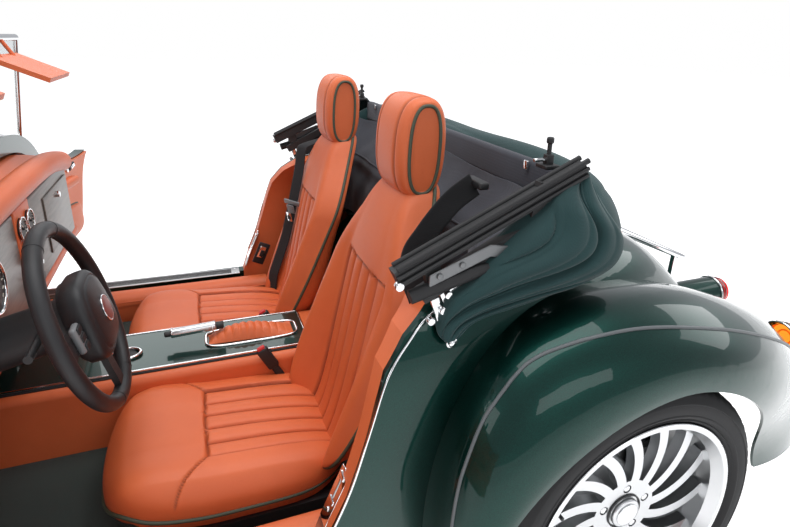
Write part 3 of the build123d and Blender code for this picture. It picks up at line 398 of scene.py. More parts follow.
FINISH = {
    "paint": body_paint(),
    "tan": leather("tan_leather", TAN, TAN_DEEP),
    "green_piping": leather("green_piping", (0.085, 0.105, 0.07), (0.04, 0.055, 0.035), 0.5),
    "black_leather": leather("black_leather", (0.022, 0.022, 0.024), (0.009, 0.009, 0.010), 0.4),
    "hood": woven("hood_cloth", (0.014, 0.062, 0.062), (0.006, 0.028, 0.030)),
    "lining": woven("hood_lining", (0.050, 0.056, 0.075), (0.020, 0.022, 0.030)),
    "webbing": woven("belt_webbing", (0.020, 0.020, 0.022), (0.008, 0.008, 0.009), 0.0022, 0.05),
    "carpet": carpet("green_carpet", (0.012, 0.040, 0.030), (0.004, 0.016, 0.012)),
    "chrome": metal("chrome", (0.83, 0.84, 0.85), 0.05, 0.03),
    "steel": metal("brushed_steel", (0.50, 0.50, 0.50), 0.28, 0.15, (1.0, 14.0, 14.0)),
    "alloy": metal("silver_alloy", (0.70, 0.71, 0.72), 0.26, 0.05),
    "gunmetal": metal("gunmetal", (0.20, 0.205, 0.21), 0.34, 0.12),
    "disc": metal("brake_disc", (0.42, 0.42, 0.43), 0.35, 0.2),
    "iron": plain_painted("cast_iron", (0.07, 0.07, 0.072), 0.6),
    "frame_black": plain_painted("chassis_black", (0.014, 0.014, 0.015), 0.45),
    "tyre": moulded("tyre_rubber", (0.012, 0.012, 0.013), 0.68, 420.0),
    "plastic": moulded("black_plastic", (0.012, 0.012, 0.013), 0.45),
    "seal": moulded("seal_rubber", (0.010, 0.010, 0.011), 0.6, 900.0),
    "grey_plastic": moulded("grey_plastic", (0.16, 0.165, 0.17), 0.4),
    "red_plastic": moulded("red_plastic", (0.55, 0.03, 0.03), 0.35),
    "dull_red": moulded("dull_red_enamel", (0.20, 0.055, 0.05), 0.3),
    "cream": moulded("cream_marks", (0.75, 0.72, 0.62), 0.5),
    "piping_grey": moulded("grey_beading", (0.10, 0.11, 0.115), 0.35),
    "wood": veneer("grey_wood", (0.22, 0.20, 0.175), (0.075, 0.066, 0.058)),
    "glass": clear("windscreen", (0.93, 0.97, 0.95)),
    "red_lens": clear("red_lens", (0.75, 0.02, 0.018), 0.08),
    "amber_lens": clear("amber_lens", (0.85, 0.25, 0.02), 0.08),
    "clear_lens": clear("clear_lens", (0.95, 0.95, 0.96), 0.05),
}
print("finishes", len(FINISH))

# %% [markdown]
# ## Finishes on the CAD panels
# Each CAD node whose shape is right keeps its mesh and only gets a better finish.

# %% Dress the CAD nodes
FINISH_NODES = {
    "paint": (
        "scuttle", "engine_bay_sides", "bonnet_left", "bonnet_right", "radiator_cowl", "rear_body", "sills",
        "door_left", "door_right", "front_wings", "rear_wings", "console_panel", "door_mirror_left",
        "door_mirror_right", "tail_lamp_housings", "headlamps",
    ),
    "tan": (
        "door_trim_left", "door_trim_right", "tunnel", "dashboard", "seat_cushions", "seat_backs",
        "head_restraints", "body_trim", "sun_visors",
    ),
    "alloy": ("rim_front_left", "rim_front_right", "rim_rear_left", "rim_rear_right"),
    "tyre": ("tyre_front_left", "tyre_front_right", "tyre_rear_left", "tyre_rear_right"),
    "chrome": ("grille", "windscreen_frame", "luggage_rack", "handbrake"),
    "frame_black": ("chassis_frame", "front_suspension", "rear_axle", "hood_frame"),
    "iron": ("engine_block", "knuckle_left", "knuckle_right"),
    "plastic": ("seat_bases", "steering_column"),
    "black_leather": ("steering_wheel",),
    "carpet": ("floor_pan",),
    "hood": ("hood_folded",),
    "steel": ("exhausts",),
    "glass": ("windscreen_glass",),
    "red_lens": ("tail_lamps",),
    "amber_lens": ("tail_indicators",),
    "clear_lens": ("headlamp_lenses",),
}


def dress(node, finish):
    """Gives a CAD node one finish, in place of the frame's flat colour."""
    mesh = NODES[node].data
    mesh.materials.clear()
    mesh.materials.append(FINISH[finish])


for finish, dressed in FINISH_NODES.items():
    for node in dressed:
        dress(node, finish)
print("dressed", len(NODES))

# %% [markdown]
# ## Hand tools
# The same few moves come back in every piece: add a primitive, open edit mode, pick faces or
# edges by place, pull them and close the mesh again. Each move is a small function here, so the
# pieces below read as a list of what is done to them.

# %% Places round a circle
def around(count):
    """Cosine and sine of evenly spaced angles, one pair for each."""
    angles = [2 * pi * i / count for i in range(count)]
    return [(cos(angle), sin(angle)) for angle in angles]


# %% Selection and edit mode
def clear_selection():
    """Nothing is selected, so that a new primitive is alone."""
    if bpy.context.object and bpy.context.object.mode != "OBJECT":
        bpy.ops.object.mode_set(mode="OBJECT")
    bpy.ops.object.select_all(action="DESELECT")


def only(piece):
    """Selects one piece and makes it the active one."""
    clear_selection()
    piece.select_set(True)
    bpy.context.view_layer.objects.active = piece


def edit(piece, mode="VERT"):
    """Opens edit mode on one piece with nothing selected in it."""
    only(piece)
    bpy.ops.object.mode_set(mode="EDIT")
    bpy.ops.mesh.select_mode(type=mode)
    bpy.ops.mesh.select_all(action="DESELECT")


def settle(piece, name, finish):
    """Applies the piece's place, points its faces outwards, smooths it and gives it its finish."""
    only(piece)
    bpy.ops.object.transform_apply(location=True, rotation=True, scale=True)
    bpy.ops.object.mode_set(mode="EDIT")
    bpy.ops.mesh.select_all(action="SELECT")
    bpy.ops.mesh.remove_doubles(threshold=0.00002)
    bpy.ops.mesh.normals_make_consistent(inside=False)
    bpy.ops.object.mode_set(mode="OBJECT")
    bpy.ops.object.shade_smooth_by_angle(angle=radians(40))
    piece.name = piece.data.name = name
    piece.data.materials.clear()
    piece.data.materials.append(FINISH[finish])
    return piece


def apply_modifier(piece, kind, **settings):
    """Adds a modifier, sets it up and applies it."""
    only(piece)
    modifier = piece.modifiers.new(kind.lower(), kind)
    for key, value in settings.items():
        setattr(modifier, key, value)
    bpy.ops.object.modifier_apply(modifier=modifier.name)
    return piece


def subdivide_smooth(piece, levels):
    """Subdivision Surface, applied."""
    return apply_modifier(piece, "SUBSURF", levels=levels, render_levels=levels)


# %% Joining, copying and mirroring
def joined(pieces, name):
    """Several pieces made one mesh, each face keeping its finish."""
    clear_selection()
    for piece in pieces:
        piece.select_set(True)
    bpy.context.view_layer.objects.active = pieces[0]
    bpy.ops.object.join()
    pieces[0].name = pieces[0].data.name = name
    return pieces[0]


def other_side(piece, name):
    """A copy with its own mesh, mirrored to the right side of the car."""
    only(piece)
    bpy.ops.object.duplicate()
    copy = bpy.context.active_object
    copy.scale.y = -1
    bpy.ops.object.transform_apply(location=False, rotation=False, scale=True)
    bpy.ops.object.mode_set(mode="EDIT")
    bpy.ops.mesh.select_all(action="SELECT")
    bpy.ops.mesh.normals_make_consistent(inside=False)
    bpy.ops.object.mode_set(mode="OBJECT")
    copy.name = copy.data.name = name
    return copy


# %% A grid shaped point by point, and a tube along a line
def shaped_grid(across, along, place, seam=None):
    """A grid primitive whose points are moved by place(u, v). Seams are marked in an attribute, which the
    leather darkens as stitching and as painted shade in their grooves.
    """
    clear_selection()
    bpy.ops.mesh.primitive_grid_add(x_subdivisions=across, y_subdivisions=along, size=2)
    piece = bpy.context.active_object
    if seam:
        marks = piece.data.attributes.new("seam", "FLOAT", "POINT")
        for vertex, mark in zip(piece.data.vertices, marks.data):
            mark.value = seam(vertex.co.x, vertex.co.y)
    for vertex in piece.data.vertices:
        vertex.co = place(vertex.co.x, vertex.co.y)
    return piece


def tube(points, radius, closed=False, finish="green_piping", name="tube", sides=3, smooth=True):
    """A round cord through the points: a curve with a bevel, made a mesh."""
    clear_selection()
    curve = bpy.data.curves.new(name, "CURVE")
    curve.dimensions = "3D"
    curve.bevel_depth = radius
    curve.bevel_resolution = sides
    curve.use_fill_caps = True
    curve.resolution_u = 6
    line = curve.splines.new("NURBS" if smooth else "POLY")
    line.points.add(len(points) - 1)
    for point, place in zip(line.points, points):
        point.co = (*place, 1)
    line.use_cyclic_u = closed
    if smooth:
        line.order_u = 3
        line.use_endpoint_u = not closed
    piece = bpy.data.objects.new(name, curve)
    bpy.context.collection.objects.link(piece)
    only(piece)
    bpy.ops.object.convert(target="MESH")
    return settle(bpy.context.active_object, name, finish)


def box(place, size, bevel=0.0, finish="chrome", name="box", turn=(0, 0, 0), segments=3):
    """A cube primitive at its size and place, with its edges rounded."""
    clear_selection()
    bpy.ops.mesh.primitive_cube_add(size=1, location=place, rotation=[radians(a) for a in turn])
    piece = bpy.context.active_object
    piece.scale = size
    bpy.ops.object.transform_apply(location=False, rotation=False, scale=True)
    if bevel:
        bpy.ops.object.mode_set(mode="EDIT")
        bpy.ops.mesh.select_all(action="SELECT")
        bpy.ops.mesh.bevel(offset=bevel, segments=segments, affect="EDGES")
        bpy.ops.object.mode_set(mode="OBJECT")
    return settle(piece, name, finish)


def disc(place, radius, depth, axis="Y", bevel=0.0, finish="chrome", name="disc", vertices=32, turn=None):
    """A cylinder primitive along an axis, with its rims rounded."""
    clear_selection()
    turns = {"X": (0, pi / 2, 0), "Y": (pi / 2, 0, 0), "Z": (0, 0, 0)}
    rotation = turn or turns[axis]
    bpy.ops.mesh.primitive_cylinder_add(
        vertices=vertices, radius=radius, depth=depth, location=place, rotation=rotation
    )
    piece = bpy.context.active_object
    if bevel:
        apply_modifier(piece, "BEVEL", width=bevel, segments=3, limit_method="ANGLE")
    return settle(piece, name, finish)


print("hand tools ready")

# %% [markdown]
# ## Seat cushions
# Each cushion is a foam block under hide: crowned, rounded at the front, with a fluted panel let in
# behind. A pillow modifier can't give the seams, so a fine grid is moved point by point. Its
# square is eased to the cushion's rounded outline, the crown rises from the piping, and the
# flutes and seams are narrow dips in it.

# %% Seat sizes
SEAT_SIDE = 0.290
CUSHION_HALF = 0.200
CUSHION_FRONT, CUSHION_REAR = -0.232, -0.745
CUSHION_EDGE_FRONT, CUSHION_EDGE_REAR = 0.318, 0.305
CUSHION_CROWN = 0.095
PIPING = 0.0042
FLUTES = 5


def smooth_step(low, high, value):
    """Eases from 0 at low to 1 at high."""
    share = min(max((value - low) / (high - low), 0.0), 1.0)
    return share * share * (3 - 2 * share)


def dip(distance, width):
    """A narrow rounded groove, 1 at its bottom."""
    return 1.0 / (1.0 + (distance / width) ** 4)


def rounded(u, v, power):
    """Moves a point of the square to a square with round corners. Gives it and its edge share."""
    edge = max(abs(u), abs(v))
    if edge < 1e-6:
        return 0.0, 0.0, 0.0
    a, b = u / edge, v / edge
    ease = (abs(a) ** power + abs(b) ** power) ** (-1 / power)
    reach = sin(edge * pi / 2)
    return reach * a * ease, reach * b * ease, edge


# %% Cushion surface
def cushion_outline(x_share, y_share):
    """Place of the piping line in plan, from shares along and across."""
    middle = (CUSHION_FRONT + CUSHION_REAR) / 2
    half = (CUSHION_FRONT - CUSHION_REAR) / 2
    bow = 0.022 * (1 - y_share * y_share) * max(x_share, 0.0) ** 2
    return middle + half * x_share - 0.022 * max(x_share, 0.0) ** 2 + bow, SEAT_SIDE + CUSHION_HALF * y_share


def flute_line(across, half, width):
    """1 on the sewn lines between flutes, over a panel from -half to half."""
    if abs(across) > half + width:
        return 0.0
    phase = (across + half) / (2 * half) * FLUTES
    return dip((phase - round(phase)) * 2 * half / FLUTES, width)


def cushion_seam(u, v):
    """1 on the cushion's sewn lines: round the fluted panel, between flutes and to the corners. These lines
    are sunk, and darkened as stitching and as painted shade in their grooves.
    """
    across, along, edge = rounded(u, v, 4.2)
    lines = max(
        dip(abs(across) - 0.60, 0.012) * (1 - smooth_step(0.17, 0.20, along)),
        dip(along - 0.175, 0.010) * (1 - smooth_step(0.60, 0.62, abs(across))),
        dip(along - 0.175 - 0.72 * (abs(across) - 0.60), 0.009) * smooth_step(0.59, 0.62, abs(across)),
        0.85 * flute_line(across, 0.60, 0.011) * (1 - smooth_step(0.15, 0.18, along)),
    )
    return lines * (1 - smooth_step(0.88, 0.97, edge))


def cushion_point(u, v):
    """One point of the cushion's top."""
    across, along, edge = rounded(u, v, 4.2)
    x, y = cushion_outline(along, across)
    rear = (1 - along) / 2
    base = CUSHION_EDGE_FRONT + (CUSHION_EDGE_REAR - CUSHION_EDGE_FRONT) * rear
    crown = CUSHION_CROWN * (1 - 0.25 * rear) * max(cos(edge * pi / 2), 0.0) ** 0.5
    side_roll = 0.014 * smooth_step(0.35, 0.8, abs(across)) * (1 - smooth_step(0.85, 1.0, abs(across)))
    front_roll = 0.012 * smooth_step(0.1, 0.7, along) * (1 - smooth_step(0.8, 1.0, along))
    z = base + crown + side_roll + front_roll
    inside = 1 - smooth_step(0.58, 0.62, abs(across))
    panel = inside * (1 - smooth_step(0.16, 0.19, along))
    flute = abs(sin((across + 0.60) / 1.20 * FLUTES * pi))
    z += panel * (-0.0120 + 0.0105 * flute ** 0.45)
    z -= 0.0060 * cushion_seam(u, v)
    return Vector((x, y, z))


def close_below(piece, steps):
    """Pulls the open rim down in steps of (x, y, z, shrink) and fills the end."""
    edit(piece, "EDGE")
    bpy.ops.mesh.select_non_manifold()
    for move_x, move_y, move_z, shrink in steps:
        bpy.ops.mesh.extrude_region_move(TRANSFORM_OT_translate={"value": (move_x, move_y, move_z)})
        rim = [v.co.copy() for v in bmesh.from_edit_mesh(piece.data).verts if v.select]
        centre = sum(rim, Vector()) / len(rim)
        bpy.ops.transform.resize(value=(shrink, shrink, shrink), center_override=piece.matrix_world @ centre)
    bpy.ops.mesh.edge_face_add()
    bpy.ops.object.mode_set(mode="OBJECT")
    return piece


def seat_cushion(name):
    """The left cushion with its skirt."""
    piece = shaped_grid(220, 140, cushion_point, cushion_seam)
    close_below(piece, ((0, 0, -0.006, 0.985), (0, 0, -0.020, 0.985), (0.0, 0, -0.012, 0.94)))
    return settle(piece, name, "tan")


def cushion_piping(name):
    """The cord sewn round the cushion's edge."""
    steps = 72
    points = []
    for i in range(steps):
        angle = 2 * pi * i / steps
        a, b = cos(angle), sin(angle)
        edge = max(abs(a), abs(b))
        point = cushion_point(a / edge, b / edge)
        points.append(point + Vector((0.002 * a, 0.002 * b, -0.001)))
    return tube(points, PIPING, True, "green_piping", name)


cushion_left = seat_cushion("seat_cushion_left")
cushion_left_piping = cushion_piping("seat_cushion_left_piping")
print("cushion faces", len(cushion_left.data.polygons))

# %% [markdown]
# ## Backrests
# The backrest is a sunk, fluted panel between two bolsters that swell forward near the cushion
# and fade out at the shoulders. Its front is again a fine grid. Across the seat its depth runs
# through a few named places, from the panel over the bolster to the piped edge.

# %% Backrest surface
BACK_FOOT, BACK_TOP = 0.335, 0.950
BACK_HALF = 0.222
BACK_SIDE = SEAT_SIDE + 0.030


def back_width(z):
    """Half width of the backrest at a height: widest at the elbows, drawn in at the neck."""
    share = (z - BACK_FOOT) / (BACK_TOP - BACK_FOOT)
    foot = 0.93 + 0.07 * smooth_step(0.0, 0.4, share)
    neck = 1 - 0.46 * smooth_step(0.62, 1.0, share)
    return BACK_HALF * foot * neck


def back_rim(z):
    """X of the backrest's piped rim at a height."""
    return -0.700 - (z - 0.40) * 0.450


def back_depth(side, z):
    """X of the backrest's front at a share of its width."""
    panel = -0.740 - (z - 0.415) * 0.224
    edge = back_rim(z)
    inner, outer = -0.645 - (z - 0.40) * 0.412, -0.678 - (z - 0.40) * 0.385
    bolster = max(inner if side < 0 else outer, panel + 0.006)
    s = abs(side)
    x = panel + (bolster - panel) * smooth_step(0.50, 0.80, s)
    return x + (edge - x) * smooth_step(0.80, 1.0, s) ** 1.5


BACK_SEAM = 0.36
BACK_PANEL_SHIFT = 0.08


def back_seam(u, v):
    """1 on the backrest's sewn lines, which are sunk and darkened as stitching and as painted shade in their
    grooves.
    """
    across, up, edge = rounded(u, v, 5.0)
    local = across - BACK_PANEL_SHIFT
    below = 1 - smooth_step(BACK_SEAM - 0.01, BACK_SEAM + 0.03, up)
    lines = max(
        dip(abs(local) - 0.585, 0.012) * below,
        dip(up - BACK_SEAM, 0.008) * (1 - smooth_step(0.57, 0.60, abs(local))),
        0.9 * flute_line(local, 0.585, 0.011) * below,
    )
    return lines * (1 - smooth_step(0.88, 0.97, edge))


def back_point(u, v):
    """One point of the backrest's front."""
    across, up, edge = rounded(u, v, 5.0)
    z = (BACK_FOOT + BACK_TOP) / 2 + (BACK_TOP - BACK_FOOT) / 2 * up
    half = back_width(z)
    rim = back_rim(z)
    cap = max(cos(edge * pi / 2), 0.0) ** 0.42
    x = rim + (back_depth(across, z) - rim) * cap + 0.012 * cap * (1 - across * across)
    y = BACK_SIDE + half * across
    local = across - BACK_PANEL_SHIFT
    panel = (1 - smooth_step(0.57, 0.60, abs(local))) * (1 - smooth_step(BACK_SEAM - 0.02, BACK_SEAM, up))
    flute = abs(sin((local + 0.585) / 1.17 * FLUTES * pi))
    x += panel * (-0.0130 + 0.0115 * flute ** 0.45)
    x -= 0.0065 * back_seam(u, v)
    return Vector((x, y, z))


SHELL_STEPS = ((-0.012, 0, 0, 1.0), (-0.026, 0, 0, 0.98), (-0.022, 0, 0, 0.92), (-0.008, 0, 0, 0.82))


def seat_back(name):
    """The left backrest with its rear shell."""
    piece = shaped_grid(220, 160, back_point, back_seam)
    front = len(piece.data.vertices)
    close_below(piece, SHELL_STEPS)
    for vertex in piece.data.vertices[front:]:
        share = (vertex.co.z - BACK_FOOT) / (BACK_TOP - BACK_FOOT)
        rim = back_rim(vertex.co.z)
        vertex.co.x = rim + (vertex.co.x - rim) * (1.15 - 0.75 * smooth_step(0.1, 0.75, share))
    return settle(piece, name, "tan")


def back_piping(name):
    """The cord sewn round the backrest's edge."""
    points = []
    steps = 80
    for i in range(steps):
        angle = 2 * pi * i / steps
        a, b = cos(angle), sin(angle)
        edge = max(abs(a), abs(b))
        points.append(back_point(a / edge, b / edge) + Vector((0, 0.002 * a, 0.002 * b)))
    return tube(points, PIPING, True, "green_piping", name)


back_left = seat_back("seat_back_left")
back_left_piping = back_piping("seat_back_left_piping")
print("backrest faces", len(back_left.data.polygons))

# %% [markdown]
# ## Head restraints
# A head restraint is a thick rounded pad with an oval panel piped into each side. It starts as a
# disc on its side, and each further ring is pulled out of the last one and scaled, as one would do
# by hand.

# %% Head restraint
HEAD_MIDDLE = (-0.915, 1.021)
HEAD_RINGS = (
    (-0.088, 0.029, 0.086),
    (-0.090, 0.037, 0.094),
    (-0.086, 0.046, 0.100),
    (-0.072, 0.054, 0.105),
    (-0.036, 0.058, 0.107),
    (0.036, 0.058, 0.107),
    (0.072, 0.054, 0.105),
    (0.086, 0.046, 0.100),
    (0.090, 0.037, 0.094),
    (0.088, 0.029, 0.086),
)
HEAD_SIDE = BACK_SIDE
HEAD_LEAN = 0.05


def head_ring(offset, half_x, half_z, count=48):
    """Points of one oval ring: a superellipse, a little narrower at its foot."""
    ring = []
    for i in range(count):
        angle = 2 * pi * i / count
        c, s = cos(angle), sin(angle)
        reach = (abs(c) ** 2.6 + abs(s) ** 2.6) ** (-1 / 2.6)
        up = half_z * s * reach
        x = HEAD_MIDDLE[0] + half_x * c * reach - HEAD_LEAN * up
        ring.append(Vector((x, HEAD_SIDE + offset, HEAD_MIDDLE[1] + up)))
    return ring


def skin(rings, closed=True, caps=True):
    """A mesh through rings of points, bridged one to the next."""
    mesh = bpy.data.meshes.new("skin")
    built = bmesh.new()
    rows = [[built.verts.new(point) for point in ring] for ring in rings]
    for first, second in zip(rows, rows[1:]):
        count = len(first)
        for i in range(count if closed else count - 1):
            j = (i + 1) % count
            built.faces.new((first[i], first[j], second[j], second[i]))
    if caps:
        built.faces.new(rows[0])
        built.faces.new(list(reversed(rows[-1])))
    built.to_mesh(mesh)
    built.free()
    piece = bpy.data.objects.new("skin", mesh)
    bpy.context.collection.objects.link(piece)
    return piece


def head_restraint(name):
    """The left pad with the sunk seam on its face."""
    piece = skin([head_ring(*ring) for ring in HEAD_RINGS])
    edit(piece, "FACE")
    bpy.ops.mesh.select_all(action="DESELECT")
    mesh = bmesh.from_edit_mesh(piece.data)
    for face in mesh.faces:
        face.select = len(face.verts) > 4
    bmesh.update_edit_mesh(piece.data)
    bpy.ops.mesh.inset(thickness=0.006)
    bpy.ops.mesh.inset(thickness=0.018)
    bpy.ops.object.mode_set(mode="OBJECT")
    subdivide_smooth(piece, 3)
    # The sunk seam is marked for the leather, which darkens it as stitching and as painted shade in its
    # groove.
    marks = piece.data.attributes.new("seam", "FLOAT", "POINT")
    for vertex, mark in zip(piece.data.vertices, marks.data):
        side = abs(vertex.co.y - HEAD_SIDE)
        groove = dip(side - 0.056, 0.0030)
        mark.value = groove
        lean = HEAD_LEAN * (vertex.co.z - HEAD_MIDDLE[1])
        middle = Vector((HEAD_MIDDLE[0] - lean, vertex.co.y, HEAD_MIDDLE[1]))
        if side < 0.075:
            vertex.co += (middle - vertex.co).normalized() * 0.0035 * groove
    return settle(piece, name, "tan")


head_left = head_restraint("head_restraint_left")
head_piping = [
    tube(head_ring(side * 0.0900, 0.033, 0.090), 0.0036, True, "green_piping", "head_restraint_piping")
    for side in (-1, 1)
]
print("head restraint faces", len(head_left.data.polygons))

# %% The right seat is a copy of the left one
left_seat = [cushion_left, cushion_left_piping, back_left, back_left_piping, head_left, *head_piping]
right_seat = [other_side(piece, piece.name.replace("left", "right")) for piece in left_seat]
seat_cushions = joined([cushion_left, cushion_left_piping, *right_seat[:2]], "seat_cushions_leather")
seat_backs = joined([back_left, back_left_piping, *right_seat[2:4]], "seat_backs_leather")
heads = joined([head_left, *head_piping, *right_seat[4:]], "head_restraints_leather")
for piece, node in ((seat_cushions, "seat_cushions"), (seat_backs, "seat_backs"), (heads, "head_restraints")):
    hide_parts(node)
    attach(piece, "body")
print("seats dressed")

# %% [markdown]
# ## The folded roof
# The roof cloth is folded down behind the seats: a long soft roll round the back of the cockpit,
# and on each side a drape that runs from the rear corner down to a press stud on the body. A cloth
# simulation would need the whole roof and its frame to fold, so both are made as curved sheets.
# The creases are waves that run along the drape and wander a little, deep near the stud.

# %% Lines of the drape
DRAPE_UPPER = (
    (-0.850, 0.748), (-0.833, 0.764), (-0.834, 0.794), (-0.849, 0.832), (-0.880, 0.858),
    (-0.915, 0.893), (-0.968, 0.935), (-1.012, 0.970), (-1.050, 1.004), (-1.100, 1.026),
)
DRAPE_LOWER = (
    (-0.856, 0.745), (-0.874, 0.758), (-0.912, 0.782), (-0.975, 0.794), (-1.050, 0.808),
    (-1.125, 0.820), (-1.190, 0.850), (-1.205, 0.900), (-1.165, 0.955), (-1.112, 1.022),
)
STUD = (-0.853, 0.752)


def along_line(points, share):
    """A place on a line through points, smoothly, at a share of its length."""
    ends = [points[0], *points, points[-1]]
    place = min(max(share, 0.0), 0.99999) * (len(points) - 1)
    i, t = int(place), place - int(place)
    p0, p1, p2, p3 = ends[i:i + 4]
    return tuple(
        0.5 * (2 * b + (c - a) * t + (2 * a - 5 * b + 4 * c - d) * t * t + (3 * b - a - 3 * c + d) * t**3)
        for a, b, c, d in zip(p0, p1, p2, p3)
    )


def drape_point(u, v):
    """One point of the left drape: u runs from its upper to its lower edge, v from stud to corner."""
    across, along = (u + 1) / 2, (v + 1) / 2
    upper, lower = along_line(DRAPE_UPPER, along), along_line(DRAPE_LOWER, along)
    x = upper[0] + (lower[0] - upper[0]) * across
    z = upper[1] + (lower[1] - upper[1]) * across
    arch = max(sin(pi * min(max(across, 0.0), 1.0)), 0.0) ** 0.55
    wander = 0.42 * sin(2.1 * pi * along + 0.6) + 0.15 * sin(5.0 * pi * along)
    count = 3.4 - 1.2 * along
    crease = abs(sin(pi * (count * across + wander)))
    fine = abs(sin(pi * (2.3 * count * across + 1.7 * wander + 0.3)))
    deep = 0.020 * (1 - smooth_step(0.55, 1.0, across) * smooth_step(0.25, 0.6, along))
    swell = 0.034 * smooth_step(0.15, 0.7, along) * (1 - smooth_step(0.80, 1.0, along))
    y = 0.690 - 0.022 * smooth_step(0.6, 1.0, along) + arch * (0.008 + swell)
    y += arch * (deep * (crease ** 0.6 - 0.75) + 0.28 * deep * (fine ** 0.7 - 0.5))
    x += 0.006 * arch * sin(2 * pi * (count * across + wander))
    hem = smooth_step(0.90, 1.0, across) + smooth_step(0.90, 1.0, 1 - across)
    y -= 0.030 * hem * smooth_step(0.06, 0.3, along)
    return Vector((x, y, z))


def hood_drape(name):
    """The left drape with the thickness of lined cloth."""
    piece = shaped_grid(90, 150, drape_point)
    settle(piece, name, "hood")
    print("drape area", round(sum(face.area for face in piece.data.polygons), 4))
    apply_modifier(piece, "SOLIDIFY", thickness=0.0024, offset=-1.0)
    return piece


# %% The roll round the back
ROLL_PATH = (
    (-0.985, 0.655, 0.862), (-1.040, 0.659, 0.880), (-1.110, 0.655, 0.898), (-1.165, 0.632, 0.908),
    (-1.200, 0.570, 0.914), (-1.216, 0.480, 0.917), (-1.222, 0.330, 0.918), (-1.224, 0.165, 0.918),
    (-1.224, 0.0, 0.918),
)
ROLL_HALF = (0.056, 0.088)


def roll_centre(share):
    """The roll's middle line from the left side (0) round to the right side (1)."""
    half = 2 * share if share <= 0.5 else 2 - 2 * share
    x, y, z = along_line(ROLL_PATH, half)
    return Vector((x, y if share <= 0.5 else -y, z))


def roll_ring(share, count=72):
    """One ring of the roll: a soft oval with creases that run with the cloth."""
    middle = roll_centre(share)
    ahead = roll_centre(min(share + 0.01, 1.0)) - roll_centre(max(share - 0.01, 0.0))
    ahead = Vector((ahead.x, ahead.y, 0)).normalized()
    outward = Vector((ahead.y, -ahead.x, 0)) * -1
    if outward.dot(Vector((middle.x + 0.9, middle.y, 0))) < 0:
        outward = -outward
    taper = (smooth_step(-0.02, 0.14, share) * smooth_step(-0.02, 0.14, 1 - share)) ** 0.6
    ring = []
    for i in range(count):
        angle = 2 * pi * i / count
        c, s = cos(angle), sin(angle)
        reach = (abs(c) ** 2.4 + abs(s) ** 2.4) ** (-1 / 2.4)
        wave = sin(3 * angle + 9 * share) * 0.5 + sin(5 * angle - 17 * share) * 0.3
        wave += sin(2 * angle + 31 * share) * 0.35
        crease = abs(sin(1.5 * angle + 5.5 * share + 0.8)) ** 0.5
        swell = 1 + 0.055 * wave + 0.10 * (crease - 0.8)
        lean = 0.022 * max(s, 0.0)
        out = ROLL_HALF[0] * c * reach * swell * taper - lean * taper
        up = ROLL_HALF[1] * s * reach * swell * taper
        ring.append(middle + outward * out + Vector((0, 0, up)))
    return ring


def hood_roll(name):
    """The folded middle of the roof."""
    piece = skin([roll_ring(i / 170) for i in range(171)])
    return settle(piece, name, "hood")


drape_left = hood_drape("hood_drape_left")
drape_right = other_side(drape_left, "hood_drape_right")
folded_roll = hood_roll("hood_roll")
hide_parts("hood_folded")
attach(folded_roll, "body")
for piece in (drape_left, drape_right):
    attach(piece, "body")
print("hood faces", len(folded_roll.data.polygons) + 2 * len(drape_left.data.polygons))

# %% [markdown]
# ## Lining, bow and press studs
# Inside the roll the roof shows its grey-black lining, which hangs from the rear bow and is tucked
# in behind the seats. The lining is a grid with one soft fold across it. The bow is a flat bar
# wrapped in the same cloth.

# %% Lining
LINING_PROFILE = (
    (-1.100, 0.955), (-1.088, 0.925), (-1.060, 0.885), (-1.022, 0.856), (-1.006, 0.830),
    (-1.010, 0.800), (-0.996, 0.760), (-0.990, 0.700), (-0.992, 0.640),
)


def lining_point(u, v):
    """One point of the lining: u from right to left, v from the foot up to the bow."""
    x, z = along_line(LINING_PROFILE, (1 - v) / 2)
    y = 0.640 * u
    side = smooth_step(0.66, 1.0, abs(u))
    pull = 0.5 * (1 - cos(pi * min(max((z - 0.70) / 0.25, 0.0), 1.0)))
    x += 0.120 * side * (1 - 0.75 * pull)
    ripple = sin(21.0 * u + 3.0 * z * 9) * 0.5 + sin(34.0 * u - 40.0 * z) * 0.3
    x += 0.005 * ripple * (1 - pull * 0.6)
    z += 0.004 * sin(9.0 * u) * pull
    return Vector((x, y, z))


lining = shaped_grid(120, 70, lining_point)
settle(lining, "hood_lining", "lining")
print("lining area", round(sum(face.area for face in lining.data.polygons), 4))
apply_modifier(lining, "SOLIDIFY", thickness=0.002, offset=-1.0)
welt_line = [lining_point(u / 30, 0.18) + Vector((0.003, 0, 0)) for u in range(-27, 28)]
welt = tube(welt_line, 0.0032, False, "lining", "lining_welt")
bow = box((-1.118, 0.0, 0.978), (0.030, 1.245, 0.066), 0.010, "lining", "rear_bow", (0, -8, 0))
bow_lip = tube([(-1.103, y / 10, 0.944) for y in range(-6, 7)], 0.0040, False, "seal", "rear_bow_lip")
rear_bow = joined([bow, bow_lip, welt], "rear_bow")
for piece in (lining, rear_bow):
    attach(piece, "body")
print("lining faces", len(lining.data.polygons))

# %% Studs, latch pins and the bright clip on the bow
def press_stud(x, z, name):
    """A domed metal stud on the drape's corner."""
    y = 0.700
    base = disc((x, y, z), 0.0105, 0.004, "Y", 0.0012, "chrome", name)
    clear_selection()
    place = (x, y + 0.003, z)
    bpy.ops.mesh.primitive_uv_sphere_add(segments=24, ring_count=12, radius=0.0065, location=place)
    dome = bpy.context.active_object
    dome.scale.y = 0.6
    settle(dome, name, "chrome")
    return joined([base, dome], name)


